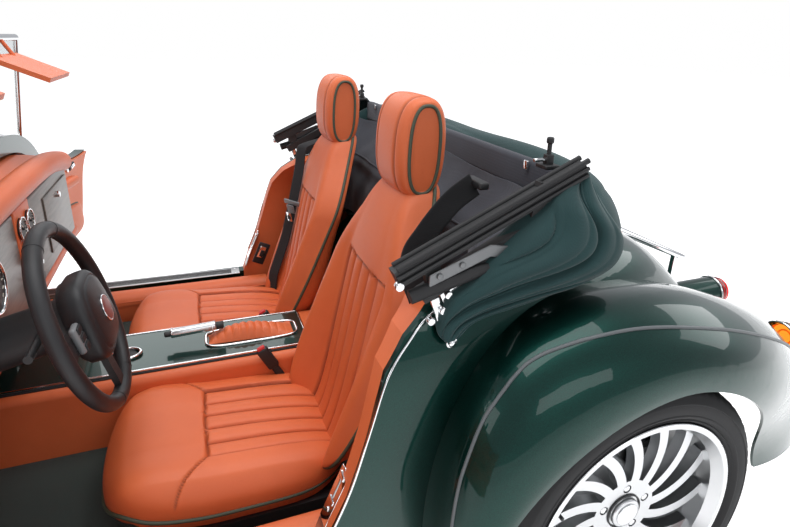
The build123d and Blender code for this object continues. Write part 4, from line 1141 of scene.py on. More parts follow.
def latch_pin(name):
    """The upright pin that locks the roof to the screen, on its bracket."""
    x, y = -1.080, 0.600
    pieces = [
        box((x, y, 1.022), (0.030, 0.036, 0.008), 0.002, "plastic", name),
        box((x, y, 1.034), (0.014, 0.016, 0.020), 0.002, "plastic", name),
        disc((x, y, 1.055), 0.0042, 0.034, "Z", 0.0, "plastic", name, 20),
        disc((x, y, 1.069), 0.0068, 0.012, "Z", 0.003, "plastic", name, 20),
        disc((x + 0.016, y, 1.034), 0.0035, 0.030, "X", 0.001, "chrome", name, 16),
    ]
    return joined(pieces, name)


stud_left = press_stud(*STUD, "press_stud_left")
pin_left = latch_pin("latch_pin_left")
clip = box((-1.100, 0.500, 1.002), (0.006, 0.012, 0.018), 0.0015, "chrome", "bow_clip")
small_hood = [stud_left, pin_left, clip]
small_hood += [other_side(piece, piece.name.replace("left", "right")) for piece in small_hood]
hood_fittings = joined(small_hood, "hood_fittings")
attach(hood_fittings, "body")

# %% [markdown]
# ## Roof rails and links
# Beside each seat the roof's frame lies folded: a black channel with two ribs along its top, a flat
# grey link with rivets, a rubber-covered arm below it and a bright hinge on the body. The bars are
# in the frame already, so only ribs, link, rivets and hinge are added.

# %% Rails
RAIL_FRONT = Vector((-0.760, 0.668, 0.870))
RAIL_REAR = Vector((-1.105, 0.668, 1.030))


def on_rail(share, side, up):
    """A place beside the rail's middle line."""
    return RAIL_FRONT.lerp(RAIL_REAR, share) + Vector((0, side, up))


def flat_link(name):
    """The grey link as a bent flat bar: a plane extruded along its three corners."""
    corners = ((-0.812, 0.864), (-0.922, 0.905), (-0.975, 0.897))
    section = ((0.684, -0.011), (0.684, 0.011), (0.689, 0.011), (0.689, -0.011))
    rows = []
    for x, z in corners:
        rows.append([Vector((x, y, z + up)) for y, up in section])
    piece = skin(rows)
    settle(piece, name, "gunmetal")
    return apply_modifier(piece, "BEVEL", width=0.002, segments=2, limit_method="ANGLE")


ribs = [
    tube([on_rail(share / 8, side, 0.017) for share in range(9)], 0.0050, False, "seal", "rail_rib")
    for side in (-0.012, 0.012)
]
ribs += [
    tube([on_rail(share / 8, 0.015, up) for share in range(9)], 0.0038, False, "plastic", "rail_rib")
    for up in (-0.008, 0.004)
]
link = [flat_link("roof_link")]
link += [
    disc((x, 0.690, z), 0.0055, 0.005, "Y", 0.001, "gunmetal", "rivet", 20)
    for x, z in ((-0.830, 0.872), (-0.870, 0.887))
]
ARM_LINE = (
    (-0.782, 0.680, 0.838), (-0.85, 0.682, 0.856), (-0.905, 0.684, 0.872), (-0.935, 0.684, 0.870),
    (-0.960, 0.680, 0.862),
)
arm = tube(ARM_LINE, 0.0125, False, "seal", "roof_arm")
end_bolt = disc((-0.762, 0.684, 0.862), 0.0075, 0.012, "Y", 0.0015, "chrome", "rail_bolt", 24)
hinge = [
    box((-0.868, 0.676, 0.836), (0.060, 0.008, 0.020), 0.002, "chrome", "roof_hinge", (0, 22, 0)),
    box((-0.835, 0.676, 0.806), (0.016, 0.008, 0.046), 0.002, "chrome", "roof_hinge", (0, 18, 0)),
]
hinge += [
    disc((x, 0.684, z), 0.0070, 0.010, "Y", 0.0015, "chrome", "roof_hinge", 24)
    for x, z in ((-0.842, 0.806), (-0.820, 0.790), (-0.850, 0.834), (-0.890, 0.846))
]
rails_left = joined([*ribs, *link, arm, end_bolt, *hinge], "roof_rail_left")
rails_right = other_side(rails_left, "roof_rail_right")
for piece in (rails_left, rails_right):
    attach(piece, "body")
    print(piece.name, len(piece.data.polygons), "faces")

# %% [markdown]
# ## Console, handbrake and buckles
# A painted panel with bright edges lies on the leather tunnel. The handbrake lever comes out of a
# pleated leather gaiter in a bright surround. The gaiter is a grid with a row of pleats, and the
# rest is turned and rounded from primitives.

# %% Console
CONSOLE_TOP = 0.440
edges = [
    box((-0.33, side * 0.0965, 0.438), (0.775, 0.005, 0.009), 0.0015, "chrome", "console_edge")
    for side in (-1, 1)
]
edges += [
    box((-0.33, side * 0.1010, 0.4335), (0.775, 0.004, 0.004), 0.001, "seal", "console_edge")
    for side in (-1, 1)
]
edges.append(box((-0.722, 0, 0.438), (0.005, 0.196, 0.009), 0.0015, "chrome", "console_edge"))
console_edges = joined(edges, "console_edges")
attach(console_edges, "body")


# %% Handbrake with its gaiter
def gaiter_point(u, v):
    """One point of the gaiter: u across, v from its rear to its front."""
    along, across = (v + 1) / 2, u
    x = -0.690 + 0.225 * along
    rise = sin(pi * min(max(along, 0.0), 1.0) ** 1.3) ** 0.7 if 0 < along < 1 else 0.0
    arch = max(1 - abs(across) ** 3, 0.0)
    pleat = abs(sin(11 * pi * along)) ** 0.6
    z = CONSOLE_TOP + 0.001 + (0.034 * rise + 0.006 * (pleat - 0.6) * rise) * arch
    return Vector((x, 0.038 * across * (1 - 0.30 * along), z))


gaiter = settle(shaped_grid(40, 150, gaiter_point), "gaiter", "tan")
rim_points = []
for c, s in around(40):
    reach = (abs(c) ** 5 + abs(s) ** 5) ** -0.2
    rim_points.append((-0.580 + 0.122 * c * reach, 0.046 * s * reach, CONSOLE_TOP + 0.002))
surround = tube(rim_points, 0.0038, True, "chrome", "gaiter_surround")
GRIP_TURN = (0, pi / 2 + 0.05, 0)
grip = disc((-0.430, 0.0, 0.480), 0.0125, 0.115, "X", 0.003, "alloy", "handbrake_grip", 32, GRIP_TURN)
button = disc((-0.366, 0.0, 0.4765), 0.0075, 0.018, "X", 0.003, "plastic", "handbrake_button", 24)
sleeve = disc((-0.492, 0.0, 0.481), 0.0105, 0.030, "X", 0.003, "plastic", "handbrake_sleeve", 24)
collars = [
    disc((x, 0.0, 0.480), 0.0134, 0.004, "X", 0.001, "chrome", "handbrake_collar", 32)
    for x in (-0.376, -0.478)
]
handbrake = joined([grip, button, sleeve, *collars], "handbrake_lever")
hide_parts("handbrake")
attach(handbrake, "body")
print("gaiter area", round(sum(face.area for face in gaiter.data.polygons), 4))
for piece in (gaiter, surround):
    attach(piece, "body")

# %% Gear lever and the switch ring on the console
ring = [(-0.262 + 0.036 * c, 0.012 + 0.027 * s, CONSOLE_TOP + 0.004) for c, s in around(32)]
gear_ring = tube(ring, 0.0048, True, "chrome", "console_ring")
gear_floor = disc((-0.262, 0.012, CONSOLE_TOP + 0.0015), 0.026, 0.002, "Z", 0.0, "plastic", "console_ring")
gear_button = disc((-0.262, 0.012, CONSOLE_TOP + 0.006), 0.011, 0.009, "Z", 0.003, "chrome", "console_ring")
gear_set = joined([gear_ring, gear_floor, gear_button], "console_switch")
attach(gear_set, "body")


def buckle(place, lean, name):
    """A belt buckle: a black housing with a red button on its stalk."""
    x, y, z = place
    body = box((x, y, z), (0.030, 0.018, 0.066), 0.005, "plastic", name, (0, lean, 0))
    top = Matrix.Rotation(radians(lean), 3, "Y") @ Vector((0, 0, 0.034))
    button = box(Vector(place) + top, (0.020, 0.012, 0.010), 0.002, "red_plastic", name, (0, lean, 0))
    foot = Matrix.Rotation(radians(lean), 3, "Y") @ Vector((0, 0, -0.075))
    stalk = box(Vector(place) + foot, (0.020, 0.008, 0.10), 0.003, "plastic", name, (0, lean, 0))
    return joined([body, button, stalk], name)


BUCKLE_PLACES = ((-0.606, 0.128, 0.432), (-0.640, -0.136, 0.402))
BUCKLE_LEAN = 28
buckles = joined([buckle(place, BUCKLE_LEAN, "buckle") for place in BUCKLE_PLACES], "belt_buckles")
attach(buckles, "body")
print("console pieces", len(console_edges.data.polygons) + len(gaiter.data.polygons))

# %% [markdown]
# ## Safety belts
# A belt is a flat woven strap, so it is modelled directly as a ribbon: its middle line is given by
# a few points, and its width is set across it. The passenger's lies down the front of the seat,
# and the driver's hangs beside it. The tongue is a bright-edged plate on the strap.

# %% Belts
BELT_HALF = 0.0235
WORN_LINE = (
    (0.500, 0.952), (0.462, 0.936), (0.441, 0.890), (0.426, 0.815), (0.420, 0.735),
    (0.426, 0.660), (0.433, 0.590), (0.444, 0.520), (0.450, 0.430), (0.452, 0.336),
)
STOWED_LINE = (
    (-0.945, 0.572, 0.990), (-0.905, 0.574, 0.965), (-0.874, 0.578, 0.936), (-0.847, 0.582, 0.905),
    (-0.824, 0.588, 0.876), (-0.818, 0.600, 0.841), (-0.832, 0.606, 0.798), (-0.856, 0.612, 0.728),
    (-0.880, 0.615, 0.628),
)


def belt_point(u, v):
    """One point of the passenger's belt, on the left seat: it lies down the front of the backrest."""
    down = (v + 1) / 2
    y, z = along_line(WORN_LINE, down)
    side = min((y - BACK_SIDE) / back_width(z), 1.0)
    over = smooth_step(0.0, 0.12, 0.12 - down)
    x = back_depth(side, z) + 0.012 * (1 - side * side) + 0.015
    x -= 0.075 * over + 0.020 * smooth_step(0.88, 1.0, down)
    return Vector((x + 0.50 * BELT_HALF * u, y + 0.86 * BELT_HALF * u, z))


def stowed_point(u, v):
    """One point of the driver's belt, which hangs beside the seat from its guide."""
    down = (v + 1) / 2
    x, y, z = along_line(STOWED_LINE, down)
    before, after = along_line(STOWED_LINE, down - 0.03), along_line(STOWED_LINE, down + 0.03)
    across = Vector((before[2] - after[2], 0, after[0] - before[0])).normalized()
    return Vector((x, y + 0.002 * u * u, z)) + across * BELT_HALF * u


def belt(name, place):
    """A strap of webbing with its own thickness."""
    strap = settle(shaped_grid(10, 120, place), name, "webbing")
    print(name, "area", round(sum(face.area for face in strap.data.polygons), 4))
    return apply_modifier(strap, "SOLIDIFY", thickness=0.0013, offset=0.0)


def belt_tongue(name):
    """The tongue that slides on the passenger's belt, with its grey grip."""
    middle = belt_point(0, 0.02)
    turn = (0, 12, -30)
    ahead = Vector((0.866, -0.5, 0))
    parts = (
        (0.003, 0.0, (0.008, 0.080, 0.016), 0.003, "grey_plastic"),
        (0.010, -0.022, (0.005, 0.034, 0.030), 0.0015, "grey_plastic"),
        (0.018, -0.048, (0.0025, 0.022, 0.034), 0.0008, "chrome"),
        (0.0200, -0.050, (0.0015, 0.012, 0.014), 0.0, "plastic"),
    )
    pieces = [
        box(middle + ahead * out + Vector((0, 0, down)), size, bevel, finish, name, turn)
        for out, down, size, bevel, finish in parts
    ]
    return joined(pieces, name)


belt_left = belt("belt_left", stowed_point)
made = [belt("belt_made", belt_point), belt_tongue("tongue_made")]
belt_right, tongue_right = other_side(made[0], "belt_right"), other_side(made[1], "belt_tongue_right")
for piece in made:
    bpy.data.objects.remove(piece)
GUIDE_PLACES = ((-0.950, 0.572, 0.992), (-0.962, -0.505, 0.952))
guides = [box(place, (0.020, 0.062, 0.014), 0.004, "plastic", "belt_guide") for place in GUIDE_PLACES]
guides = joined(guides, "belt_guides")
for piece in (belt_right, belt_left, tongue_right, guides):
    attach(piece, "body")
print("belt faces", len(belt_right.data.polygons))

# %% [markdown]
# ## Door opening: padded sills, tread plates, latches and the bright edge
# A leather roll runs along the inside of each sill, with a bright ribbed tread plate outside it. On
# the rear edge of the opening sits the striker. They are made for the left side and copied to the
# right, where a framed catch is let into the side trim as well. All of it clears the shut door.

# %% Padded sill roll
def sill_roll_point(u, v):
    """One point of the left sill's leather roll: u round it, v along it."""
    angle = pi * (u + 1) / 2
    x = -0.690 + 0.815 * (v + 1) / 2
    reach = 0.036 + 0.004 * smooth_step(0.0, 1.0, (v + 1) / 2)
    z = 0.316 + 0.038 * sin(angle) ** 0.8
    return Vector((x, 0.600 + reach * cos(angle) + 0.004 * sin(angle), z))


sill_roll = settle(shaped_grid(24, 40, sill_roll_point), "sill_roll", "tan")
sill_wall = box((-0.285, 0.575, 0.284), (0.81, 0.020, 0.088), 0.006, "tan", "sill_wall")
sill_seam = tube([(-0.68 + 0.08 * i, 0.5642, 0.328) for i in range(11)], 0.0020, False, "tan", "sill_seam")
sill_trim = joined([sill_roll, sill_wall, sill_seam], "sill_trim_left")

# %% Tread plate, striker and catch
tread = [box((-0.235, 0.672, 0.3562), (0.72, 0.060, 0.0018), 0.0005, "steel", "tread_plate")]
tread += [
    box((-0.235, 0.655 + 0.008 * i, 0.3575), (0.66, 0.003, 0.0012), 0.0003, "seal", "tread_rib")
    for i in range(5)
]
tread += [
    disc((x, y, 0.3573), 0.004, 0.0014, "Z", 0.0004, "chrome", "tread_screw", 16)
    for x in (-0.58, 0.11)
    for y in (0.650, 0.694)
]
striker = [
    box((-0.6535, 0.668, 0.460), (0.004, 0.036, 0.110), 0.0015, "chrome", "striker", (0, -24, 0)),
    box((-0.6685, 0.668, 0.500), (0.005, 0.022, 0.010), 0.0015, "chrome", "striker", (0, -24, 0)),
    box((-0.6485, 0.668, 0.452), (0.005, 0.022, 0.008), 0.0015, "chrome", "striker", (0, -24, 0)),
    disc((-0.6585, 0.668, 0.476), 0.0022, 0.040, "Z", 0.0006, "steel", "striker", 16, (0, -0.42, 0)),
    box((-0.6285, 0.666, 0.400), (0.003, 0.034, 0.040), 0.001, "steel", "striker", (0, -21, 0)),
]
striker += [
    disc((-0.6525 - 0.445 * (z - 0.46), 0.668, z), 0.005, 0.005, "X", 0.001, "chrome", "striker", 16)
    for z in (0.435, 0.512)
]
catch = [
    box((-0.676, 0.5885, 0.450), (0.042, 0.008, 0.084), 0.003, "plastic", "catch", (0, -24, 0)),
    box((-0.677, 0.5840, 0.456), (0.024, 0.006, 0.046), 0.002, "chrome", "catch", (0, -24, 0)),
    box((-0.677, 0.5815, 0.452), (0.014, 0.006, 0.026), 0.001, "plastic", "catch", (0, -24, 0)),
]
catch_left = joined(catch, "catch_made_left")
catch_right = other_side(catch_left, "catch_right")
bpy.data.objects.remove(catch_left)
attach(catch_right, "body")
opening_left = joined([*tread, *striker], "opening_fittings_left")

# %% Bright edge along the coaming
EDGE_LINE = (
    (-0.639, 0.430), (-0.6735, 0.510), (-0.7055, 0.610), (-0.740, 0.704), (-0.784, 0.758),
    (-0.830, 0.793), (-0.910, 0.815), (-0.996, 0.826), (-1.110, 0.824), (-1.231, 0.819),
)


def wall_side(nodes, x, z, start=1.3):
    """Y of the outermost CAD surface at a place in side view."""
    best = None
    for node in nodes:
        hit, place, _, _ = NODES[node].ray_cast(Vector((x, start, z)), Vector((0, -1, 0)))
        if hit and (best is None or place.y > best):
            best = place.y
    return best


edge_points = []
for i in range(40):
    x, z = along_line(EDGE_LINE, i / 39)
    side = wall_side(["rear_body"], x - 0.004, z - 0.010) or 0.700
    edge_points.append((x, min(side, 0.712) + 0.0005, z))
bright_edge = tube(edge_points, 0.0023, False, "chrome", "bright_edge_left")
left_side = [sill_trim, opening_left, bright_edge]
right_side = [other_side(piece, piece.name.replace("left", "right")) for piece in left_side]
for piece in left_side + right_side:
    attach(piece, "body")
print("door opening pieces", len(left_side + right_side))

# %% [markdown]
# ## Dash
# The dash is a leather-covered roll over a wooden fascia, with round instruments in the middle. The fascia is
# a rounded board, and each instrument is a bright ring round a black face with plain marks. The roll over the
# fascia is a bent tube.

# %% Fascia and roll
DASH_FACE = -0.094
fascia = [
    box((DASH_FACE, side * 0.284, 0.745), (0.010, 0.438, 0.215), 0.004, "wood", "fascia") for side in (-1, 1)
]
fascia.append(box((DASH_FACE - 0.001, 0, 0.745), (0.012, 0.126, 0.225), 0.004, "tan", "fascia"))
ROLL_SIDES = (-0.535, -0.42, -0.28, -0.14, 0, 0.14, 0.28, 0.42, 0.535)
roll_line = [(-0.085, y, 0.885 - 0.045 * (y / 0.56) ** 4) for y in ROLL_SIDES]
roll = tube(roll_line, 0.031, False, "tan", "dash_roll", 8)
lower_line = [(-0.080, y / 100, 0.622) for y in range(-54, 55, 12)]
lower_roll = tube(lower_line, 0.020, False, "tan", "dash_lower_roll", 6)
glovebox = [
    box((DASH_FACE - 0.007, -0.330, 0.745), (0.004, 0.290, 0.150), 0.003, "wood", "glovebox"),
    disc((DASH_FACE - 0.012, -0.330, 0.795), 0.009, 0.012, "X", 0.002, "chrome", "glovebox"),
]


def instrument(y, z, radius, name="instrument"):
    """A round gauge: bright ring, black face, plain marks and a needle."""
    x = DASH_FACE - 0.008
    pieces = [disc((x - 0.001, y, z), radius * 0.96, 0.006, "X", 0.001, "plastic", name, 48)]
    circle = [(x - 0.005, y + radius * c, z + radius * s) for c, s in around(48)]
    pieces.append(tube(circle, radius * 0.075, True, "chrome", name))
    for i in range(13):
        angle = radians(225 - 270 * i / 12)
        place = (x - 0.0045, y - radius * 0.78 * cos(angle), z + radius * 0.78 * sin(angle))
        mark = (0.001, radius * 0.16, radius * 0.035)
        pieces.append(box(place, mark, 0, "cream", name, (degrees(angle), 0, 0)))
    place, needle = (x - 0.0055, y + radius * 0.2, z + radius * 0.22), (0.001, radius * 0.7, radius * 0.05)
    pieces.append(box(place, needle, 0, "cream", name, (45, 0, 0)))
    pieces.append(disc((x - 0.006, y, z), radius * 0.13, 0.004, "X", 0.001, "plastic", name, 20))
    return joined(pieces, name)


gauges = [instrument(0.268, 0.770, 0.052), instrument(0.425, 0.770, 0.052)]
gauges += [instrument(side * 0.033, z, 0.026) for side in (-1, 1) for z in (0.810, 0.752)]
SWITCH_X = DASH_FACE - 0.010
switches = [
    disc((SWITCH_X, -0.048 + 0.024 * i, 0.700), 0.0075, 0.014, "X", 0.002, "chrome", "switch", 20)
    for i in range(5)
]
switches += [
    disc((SWITCH_X, -0.036 + 0.036 * i, 0.668), 0.0110, 0.016, "X", 0.003, "plastic", "switch", 24)
    for i in range(3)
]
dash = joined([*fascia, roll, lower_roll, *glovebox, *gauges, *switches], "dash_fittings")
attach(dash, "body")
print("dash faces", len(dash.data.polygons))

# %% [markdown]
# ## Steering wheel
# The rim and spokes come from the frame. What is added sits on them: a leather-covered hub pad with
# a plain round boss, two clusters of switches and the seams where the rim's leather is joined. All
# of it is made flat, facing up, and then tilted onto the wheel's axis.

# %% Steering wheel fittings
WHEEL_CENTRE = Vector((-0.256, 0.350, 0.727))
WHEEL_TILT = Matrix.Translation(WHEEL_CENTRE) @ Matrix.Rotation(radians(-(90 - 15)), 4, "Y")


def hub_point(u, v):
    """The hub pad's dome: x is up the wheel here, y across it."""
    across, up, edge = rounded(u, v, 3.2)
    half = 0.083 - 0.012 * up
    height = 0.030 * max(cos(edge * pi / 2), 0.0) ** 0.5
    height -= 0.0018 * dip(edge - 0.62, 0.02)
    return Vector((0.078 * up, half * across, 0.012 + height))


hub_pad = close_below(shaped_grid(70, 70, hub_point), ((0, 0, -0.014, 0.98), (0, 0, -0.010, 0.9)))
settle(hub_pad, "hub_pad", "black_leather")
boss = disc((0, 0, 0.0425), 0.024, 0.003, "Z", 0.0012, "dull_red", "hub_boss", 40)
boss_line = [(0.025 * c, 0.025 * s, 0.0425) for c, s in around(32)]
boss_ring = tube(boss_line, 0.0016, True, "chrome", "hub_boss")
pods = []
for side in (-1, 1):
    pods.append(box((0.004, side * 0.104, 0.011), (0.050, 0.034, 0.012), 0.005, "grey_plastic", "switch_pod"))
    for up in (-0.013, 0.004, 0.020):
        pods.append(box((up, side * 0.104, 0.018), (0.012, 0.022, 0.004), 0.0015, "plastic", "switch_key"))
seams = []
for turn in (20, 160, 200, 340):
    angle = radians(turn)
    centre = Vector((0.172 * cos(angle), 0.172 * sin(angle), 0))
    out = centre.normalized()
    ring_points = [centre + out * 0.0152 * c + Vector((0, 0, 0.0152 * s)) for c, s in around(24)]
    seams.append(tube(ring_points, 0.0007, True, "plastic", "rim_seam"))
steering = joined([hub_pad, boss, boss_ring, *pods, *seams], "steering_wheel_fittings")
steering.data.transform(WHEEL_TILT)
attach(steering, "steering_wheel")
print("steering wheel faces", len(steering.data.polygons))

# %% [markdown]
# ## Door insides and visors
# Each door has a leather card with a pocket, an armrest, a pull and a bright handle. They are made
# for the shut left door and swung open with it about its hinge.

# %% Door card
DOOR_HINGE = Vector((0.154, 0.64466, 0))
DOOR_TURN = Matrix.Rotation(radians(-80), 4, "Z")
DOOR_SWING = Matrix.Translation(DOOR_HINGE) @ DOOR_TURN @ Matrix.Translation(-DOOR_HINGE)


def pocket_point(u, v):
    """The bulging leather pocket on the door card."""
    across, up, edge = rounded(u, v, 4.0)
    depth = 0.022 * max(cos(edge * pi / 2), 0.0) ** 0.5 + 0.004 * smooth_step(0.5, 0.95, up)
    return Vector((-0.235 + 0.245 * across, 0.620 - depth, 0.470 + 0.070 * up))


pocket = settle(close_below(shaped_grid(60, 40, pocket_point), ((0, 0.006, 0, 1.0),)), "door_pocket", "tan")
pocket_hem = [pocket_point(u / 10, 0.97) + Vector((0, -0.002, 0.002)) for u in range(-9, 10)]
pocket_cord = tube(pocket_hem, 0.003, False, "green_piping", "door_pocket")
armrest = box((-0.270, 0.598, 0.640), (0.300, 0.044, 0.034), 0.014, "tan", "armrest", (0, 0, 0), 5)
pull = [
    box((-0.440, 0.612, 0.690), (0.058, 0.010, 0.020), 0.003, "plastic", "door_handle", (0, 12, 0)),
    box((-0.440, 0.606, 0.690), (0.040, 0.008, 0.011), 0.003, "chrome", "door_handle", (0, 12, 0)),
    disc((-0.386, 0.610, 0.684), 0.010, 0.010, "Y", 0.003, "chrome", "door_handle", 24),
]
speaker = [disc((-0.020, 0.616, 0.500), 0.060, 0.010, "Y", 0.003, "plastic", "speaker", 48)]
speaker += [
    tube([(-0.020 + r * c, 0.6095, 0.500 + r * s) for c, s in around(40)], 0.0016, True, "seal", "speaker")
    for r in (0.018, 0.030, 0.042, 0.054)
]
door_inside = joined([pocket, pocket_cord, armrest, *pull, *speaker], "door_inside_left")
door_inside.data.transform(DOOR_SWING)
door_inside_right = other_side(door_inside, "door_inside_right")
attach(door_inside, "door_left")
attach(door_inside_right, "door_right")
print("door faces", len(door_inside.data.polygons))

# %% [markdown]
# ## Tyres
# A tyre is its cross-section carried round the axle: bead, ringed side wall, rounded shoulder and
# a tread with four grooves. Each third step round it is drawn in at the shoulders, which gives the
# cross cuts. It is made once for each width and copied to the other wheels.

# %% Tyre
AXLES = {"front": 1.290, "rear": -1.240}
AXLE_HEIGHT = 0.318
RIM_FACE = 0.813


def tyre_section(half_width, cut):
    """Half of the section from the bead outwards, as (side, radius)."""
    w = half_width
    tread_cut = 0.0045 if cut else 0.0
    return (
        (w - 0.020, 0.2425), (w - 0.012, 0.2430), (w - 0.0075, 0.2460), (w - 0.0035, 0.2500),
        (w - 0.0055, 0.2525), (w - 0.0010, 0.2580), (w + 0.0006, 0.2600), (w + 0.0006, 0.2625),
        (w - 0.0006, 0.2640), (w + 0.0002, 0.2720), (w - 0.0002, 0.2800), (w - 0.0018, 0.2860),
        (w - 0.0004, 0.2875), (w - 0.0012, 0.2895), (w - 0.0040, 0.2930), (w - 0.0075, 0.2990),
        (w - 0.0105, 0.3040 - 0.3 * tread_cut), (w - 0.0160, 0.3095 - 0.6 * tread_cut),
        (w - 0.0240, 0.3135 - tread_cut), (w - 0.0420, 0.3160 - tread_cut), (w - 0.0430, 0.3080),
        (w - 0.0510, 0.3080), (w - 0.0520, 0.3165), (w - 0.0830, 0.3175), (w - 0.0840, 0.3090),
        (w - 0.0930, 0.3090), (w - 0.0940, 0.3177),
    )


def tyre(name, middle, half_width, axle_x, steps=216):
    """One left tyre round its axle."""
    rings = []
    for i in range(steps + 1):
        angle = 2 * pi * i / steps
        half = tyre_section(half_width, i % 3 == 0)
        loop = [*half, *[(-side, radius) for side, radius in reversed(half)]]
        c, s = cos(angle), sin(angle)
        rings.append([
            Vector((axle_x + radius * c, middle + side, AXLE_HEIGHT + radius * s)) for side, radius in loop
        ])
    return settle(skin(rings, True, False), name, "tyre")


TYRE_HALF = {"front": 0.1085, "rear": 0.1235}
TYRE_MIDDLE = {"front": 0.7105, "rear": 0.6955}
for end in ("front", "rear"):
    left = tyre(f"tyre_{end}_left_rubber", TYRE_MIDDLE[end], TYRE_HALF[end], AXLES[end])
    right = other_side(left, f"tyre_{end}_right_rubber")
    for piece, side in ((left, "left"), (right, "right")):
        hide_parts(f"tyre_{end}_{side}")
        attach(piece, f"wheel_{end}_{side}")
    print(end, "tyre faces", len(left.data.polygons))

# %% [markdown]
# ## Wheel details
# The cast wheel comes from the frame. It gets a polished lip, a plain cap with a fine step, bright bolts and
# a valve.

# %% Wheel details
def wheel_circle(axle_x, y, radius, count):
    """Points of a circle round a wheel's axle."""
    return [(axle_x + radius * c, y, AXLE_HEIGHT + radius * s) for c, s in around(count)]


def wheel_details(name, axle_x):
    """Lip, cap, bolts and valve of a left wheel."""
    face, z = RIM_FACE, AXLE_HEIGHT
    hub_face = face - 0.042
    pieces = [
        tube(wheel_circle(axle_x, face - 0.002, 0.2385, 96), 0.0030, True, "chrome", name),
        tube(wheel_circle(axle_x, face - 0.010, 0.2270, 96), 0.0016, True, "alloy", name),
        disc((axle_x, hub_face + 0.004, z), 0.034, 0.012, "Y", 0.004, "alloy", name, 48),
        disc((axle_x, hub_face + 0.011, z), 0.026, 0.004, "Y", 0.0015, "chrome", name, 48),
        tube(wheel_circle(axle_x, hub_face + 0.002, 0.040, 48), 0.0018, True, "iron", name),
    ]
    for i in range(5):
        angle = 2 * pi * i / 5 + pi / 2
        bolt = (axle_x + 0.056 * cos(angle), hub_face - 0.006, z + 0.056 * sin(angle))
        pieces.append(disc(bolt, 0.0085, 0.012, "Y", 0.002, "chrome", name, 6))
    valve = (axle_x + 0.205 * cos(0.4), face - 0.022, z + 0.205 * sin(0.4))
    pieces.append(disc(valve, 0.0038, 0.030, "Y", 0.001, "plastic", name, 16))
    return joined(pieces, name)


for end in ("front", "rear"):
    left = wheel_details(f"wheel_details_{end}_left", AXLES[end])
    right = other_side(left, f"wheel_details_{end}_right")
    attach(left, f"wheel_{end}_left")
    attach(right, f"wheel_{end}_right")
    print(end, "wheel detail faces", len(left.data.polygons))

# %% [markdown]
# ## Beading, lamp rings and the rear deck
# Where a separate wing meets the body, a strip of beading is clamped into the joint. It shows as a
# thin grey line. The line is given in side view and dropped onto the panels with a ray, so it lies
# on them whatever their curve.

# %% Beading
BEADING_LINE = (
    (-0.815, 0.364), (-0.823, 0.472), (-0.849, 0.575), (-0.895, 0.667), (-0.973, 0.740),
    (-1.091, 0.772), (-1.237, 0.768), (-1.429, 0.720), (-1.657, 0.621), (-1.880, 0.490),
)


def beading(name):
    """The left wing's beading, laid on the panels."""
    points = []
    last = 0.70
    for i in range(60):
        x, z = along_line(BEADING_LINE, i / 59)
        side = wall_side(["rear_body", "rear_wings"], x, z)
        side = last if side is None or abs(side - last) > 0.05 and i else side
        last = side
        points.append((x, side + 0.001, z))
    return tube(points, 0.0034, False, "piping_grey", name)


beading_left = beading("beading_left")
beading_right = other_side(beading_left, "beading_right")
for piece in (beading_left, beading_right):
    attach(piece, "body")

# %% Lamp rings
def ring_round(x, y, z, radius, thickness, finish, name):
    """A bright ring facing along the car."""
    points = [(x, y + radius * c, z + radius * s) for c, s in around(48)]
    return tube(points, thickness, True, finish, name)


def lamp_glow(x, y, z, radius, finish, name):
    """The lamp's inside: rings of coloured lens within a bright rim."""
    pieces = [ring_round(x - 0.001, y, z, radius + 0.001, 0.0030, "chrome", name)]
    pieces.append(ring_round(x - 0.034, y, z, radius * 0.80, 0.0022, finish, name))
    pieces.append(ring_round(x - 0.036, y, z, radius * 0.42, 0.0018, finish, name))
    return joined(pieces, name)


rear_lamps = [
    lamp_glow(-1.770, 0.450, 0.598, 0.041, "red_lens", "stop_lamp_rings"),
    lamp_glow(-1.790, 0.650, 0.557, 0.041, "amber_lens", "turn_lamp_rings"),
]
head_rings = [
    ring_round(1.692, 0.430, 0.745, 0.086, 0.0055, "chrome", "headlamp_ring"),
    ring_round(1.686, 0.430, 0.745, 0.091, 0.0035, "seal", "headlamp_ring"),
]
lamps_left = joined(rear_lamps + head_rings, "lamp_rings_left")
lamps_right = other_side(lamps_left, "lamp_rings_right")
for piece in (lamps_left, lamps_right):
    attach(piece, "body")
print("lamp ring faces", len(lamps_left.data.polygons))

# %% [markdown]
# ## Floor and light
# The car stands on a plain white floor under large soft lamps. The floor looks white to the camera
# and in reflections, while its shadow comes from the real shading underneath.

# %% Floor
FLOOR_SIZE = 60.0


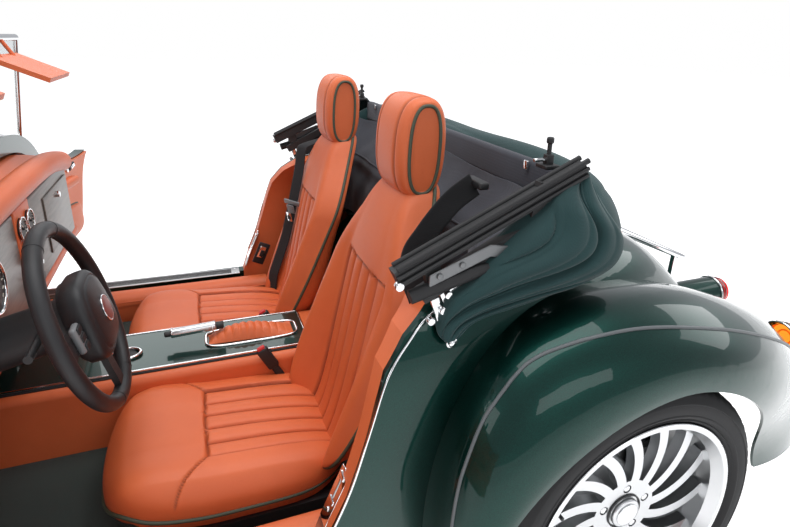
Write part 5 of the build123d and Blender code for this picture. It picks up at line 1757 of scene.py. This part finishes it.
def studio_white(name):
    """White where the camera or a mirror sees it, and plain pale paint for all other light."""
    b = Board(name)
    path = b.tree.nodes.new("ShaderNodeLightPath")
    seen = b.math("MAXIMUM", Wire(b, path.outputs["Is Camera Ray"]), Wire(b, path.outputs["Is Glossy Ray"]))
    seen = b.math("MAXIMUM", seen, Wire(b, path.outputs["Is Transmission Ray"]))
    pale = b.node("ShaderNodeBsdfDiffuse", {}, {"Color": (0.86, 0.86, 0.86)})
    bright = b.node("ShaderNodeEmission", {}, {"Color": (0.93, 0.93, 0.93), "Strength": 0.75})
    both = b.node("ShaderNodeAddShader", {}, {0: pale, 1: bright})
    mixed = b.node("ShaderNodeMixShader", {}, {0: seen, 1: pale, 2: both})
    b.node("ShaderNodeOutputMaterial", {}, {"Surface": mixed})
    return b.material


clear_selection()
bpy.ops.mesh.primitive_plane_add(size=FLOOR_SIZE, location=(0, 0, CAD_BOX[0][2] - 0.0005))
floor = bpy.context.active_object
floor.name = "floor"
floor.data.materials.append(studio_white("studio_floor"))

# %% Lamps and world
LAMPS = (
    ("overhead", (-0.6, 0.2, 4.2), (0, 0, 0), 4.0, 2.4, 105.0),
    ("camera_side", (-1.0, 4.6, 2.8), (-62, 0, 0), 3.6, 1.2, 34.0),
    ("far_side", (-0.6, -4.4, 3.0), (60, 0, 0), 3.6, 1.2, 30.0),
    ("tail", (-5.0, 0.6, 2.4), (0, -65, 0), 1.6, 3.0, 34.0),
    ("nose", (5.0, 0.4, 2.6), (0, 62, 0), 1.6, 3.0, 34.0),
)


def add_lamp(name, place, turn, width, height, power):
    """One large soft rectangle of light."""
    light = bpy.data.lights.new(name, "AREA")
    light.shape = "RECTANGLE"
    light.size = width
    light.size_y = height
    light.energy = power
    lamp = bpy.data.objects.new(name, light)
    lamp.location = place
    lamp.rotation_euler = [radians(a) for a in turn]
    bpy.context.collection.objects.link(lamp)


for lamp in LAMPS:
    add_lamp(*lamp)


def studio_world():
    """White to the camera, and a softer grey sky as a light."""
    world = bpy.data.worlds.new("studio")
    world.use_nodes = True
    nodes, links = world.node_tree.nodes, world.node_tree.links
    sky = nodes["Background"]
    sky.inputs["Color"].default_value = (0.93, 0.95, 1.0, 1)
    sky.inputs["Strength"].default_value = 0.55
    white = nodes.new("ShaderNodeBackground")
    white.inputs["Color"].default_value = (1, 1, 1, 1)
    path = nodes.new("ShaderNodeLightPath")
    mixed = nodes.new("ShaderNodeMixShader")
    links.new(path.outputs["Is Camera Ray"], mixed.inputs[0])
    links.new(sky.outputs[0], mixed.inputs[1])
    links.new(white.outputs[0], mixed.inputs[2])
    links.new(mixed.outputs[0], nodes["World Output"].inputs["Surface"])
    return world


bpy.context.scene.world = studio_world()
bpy.context.scene.view_settings.view_transform = "Standard"
print("lamps", len(LAMPS))
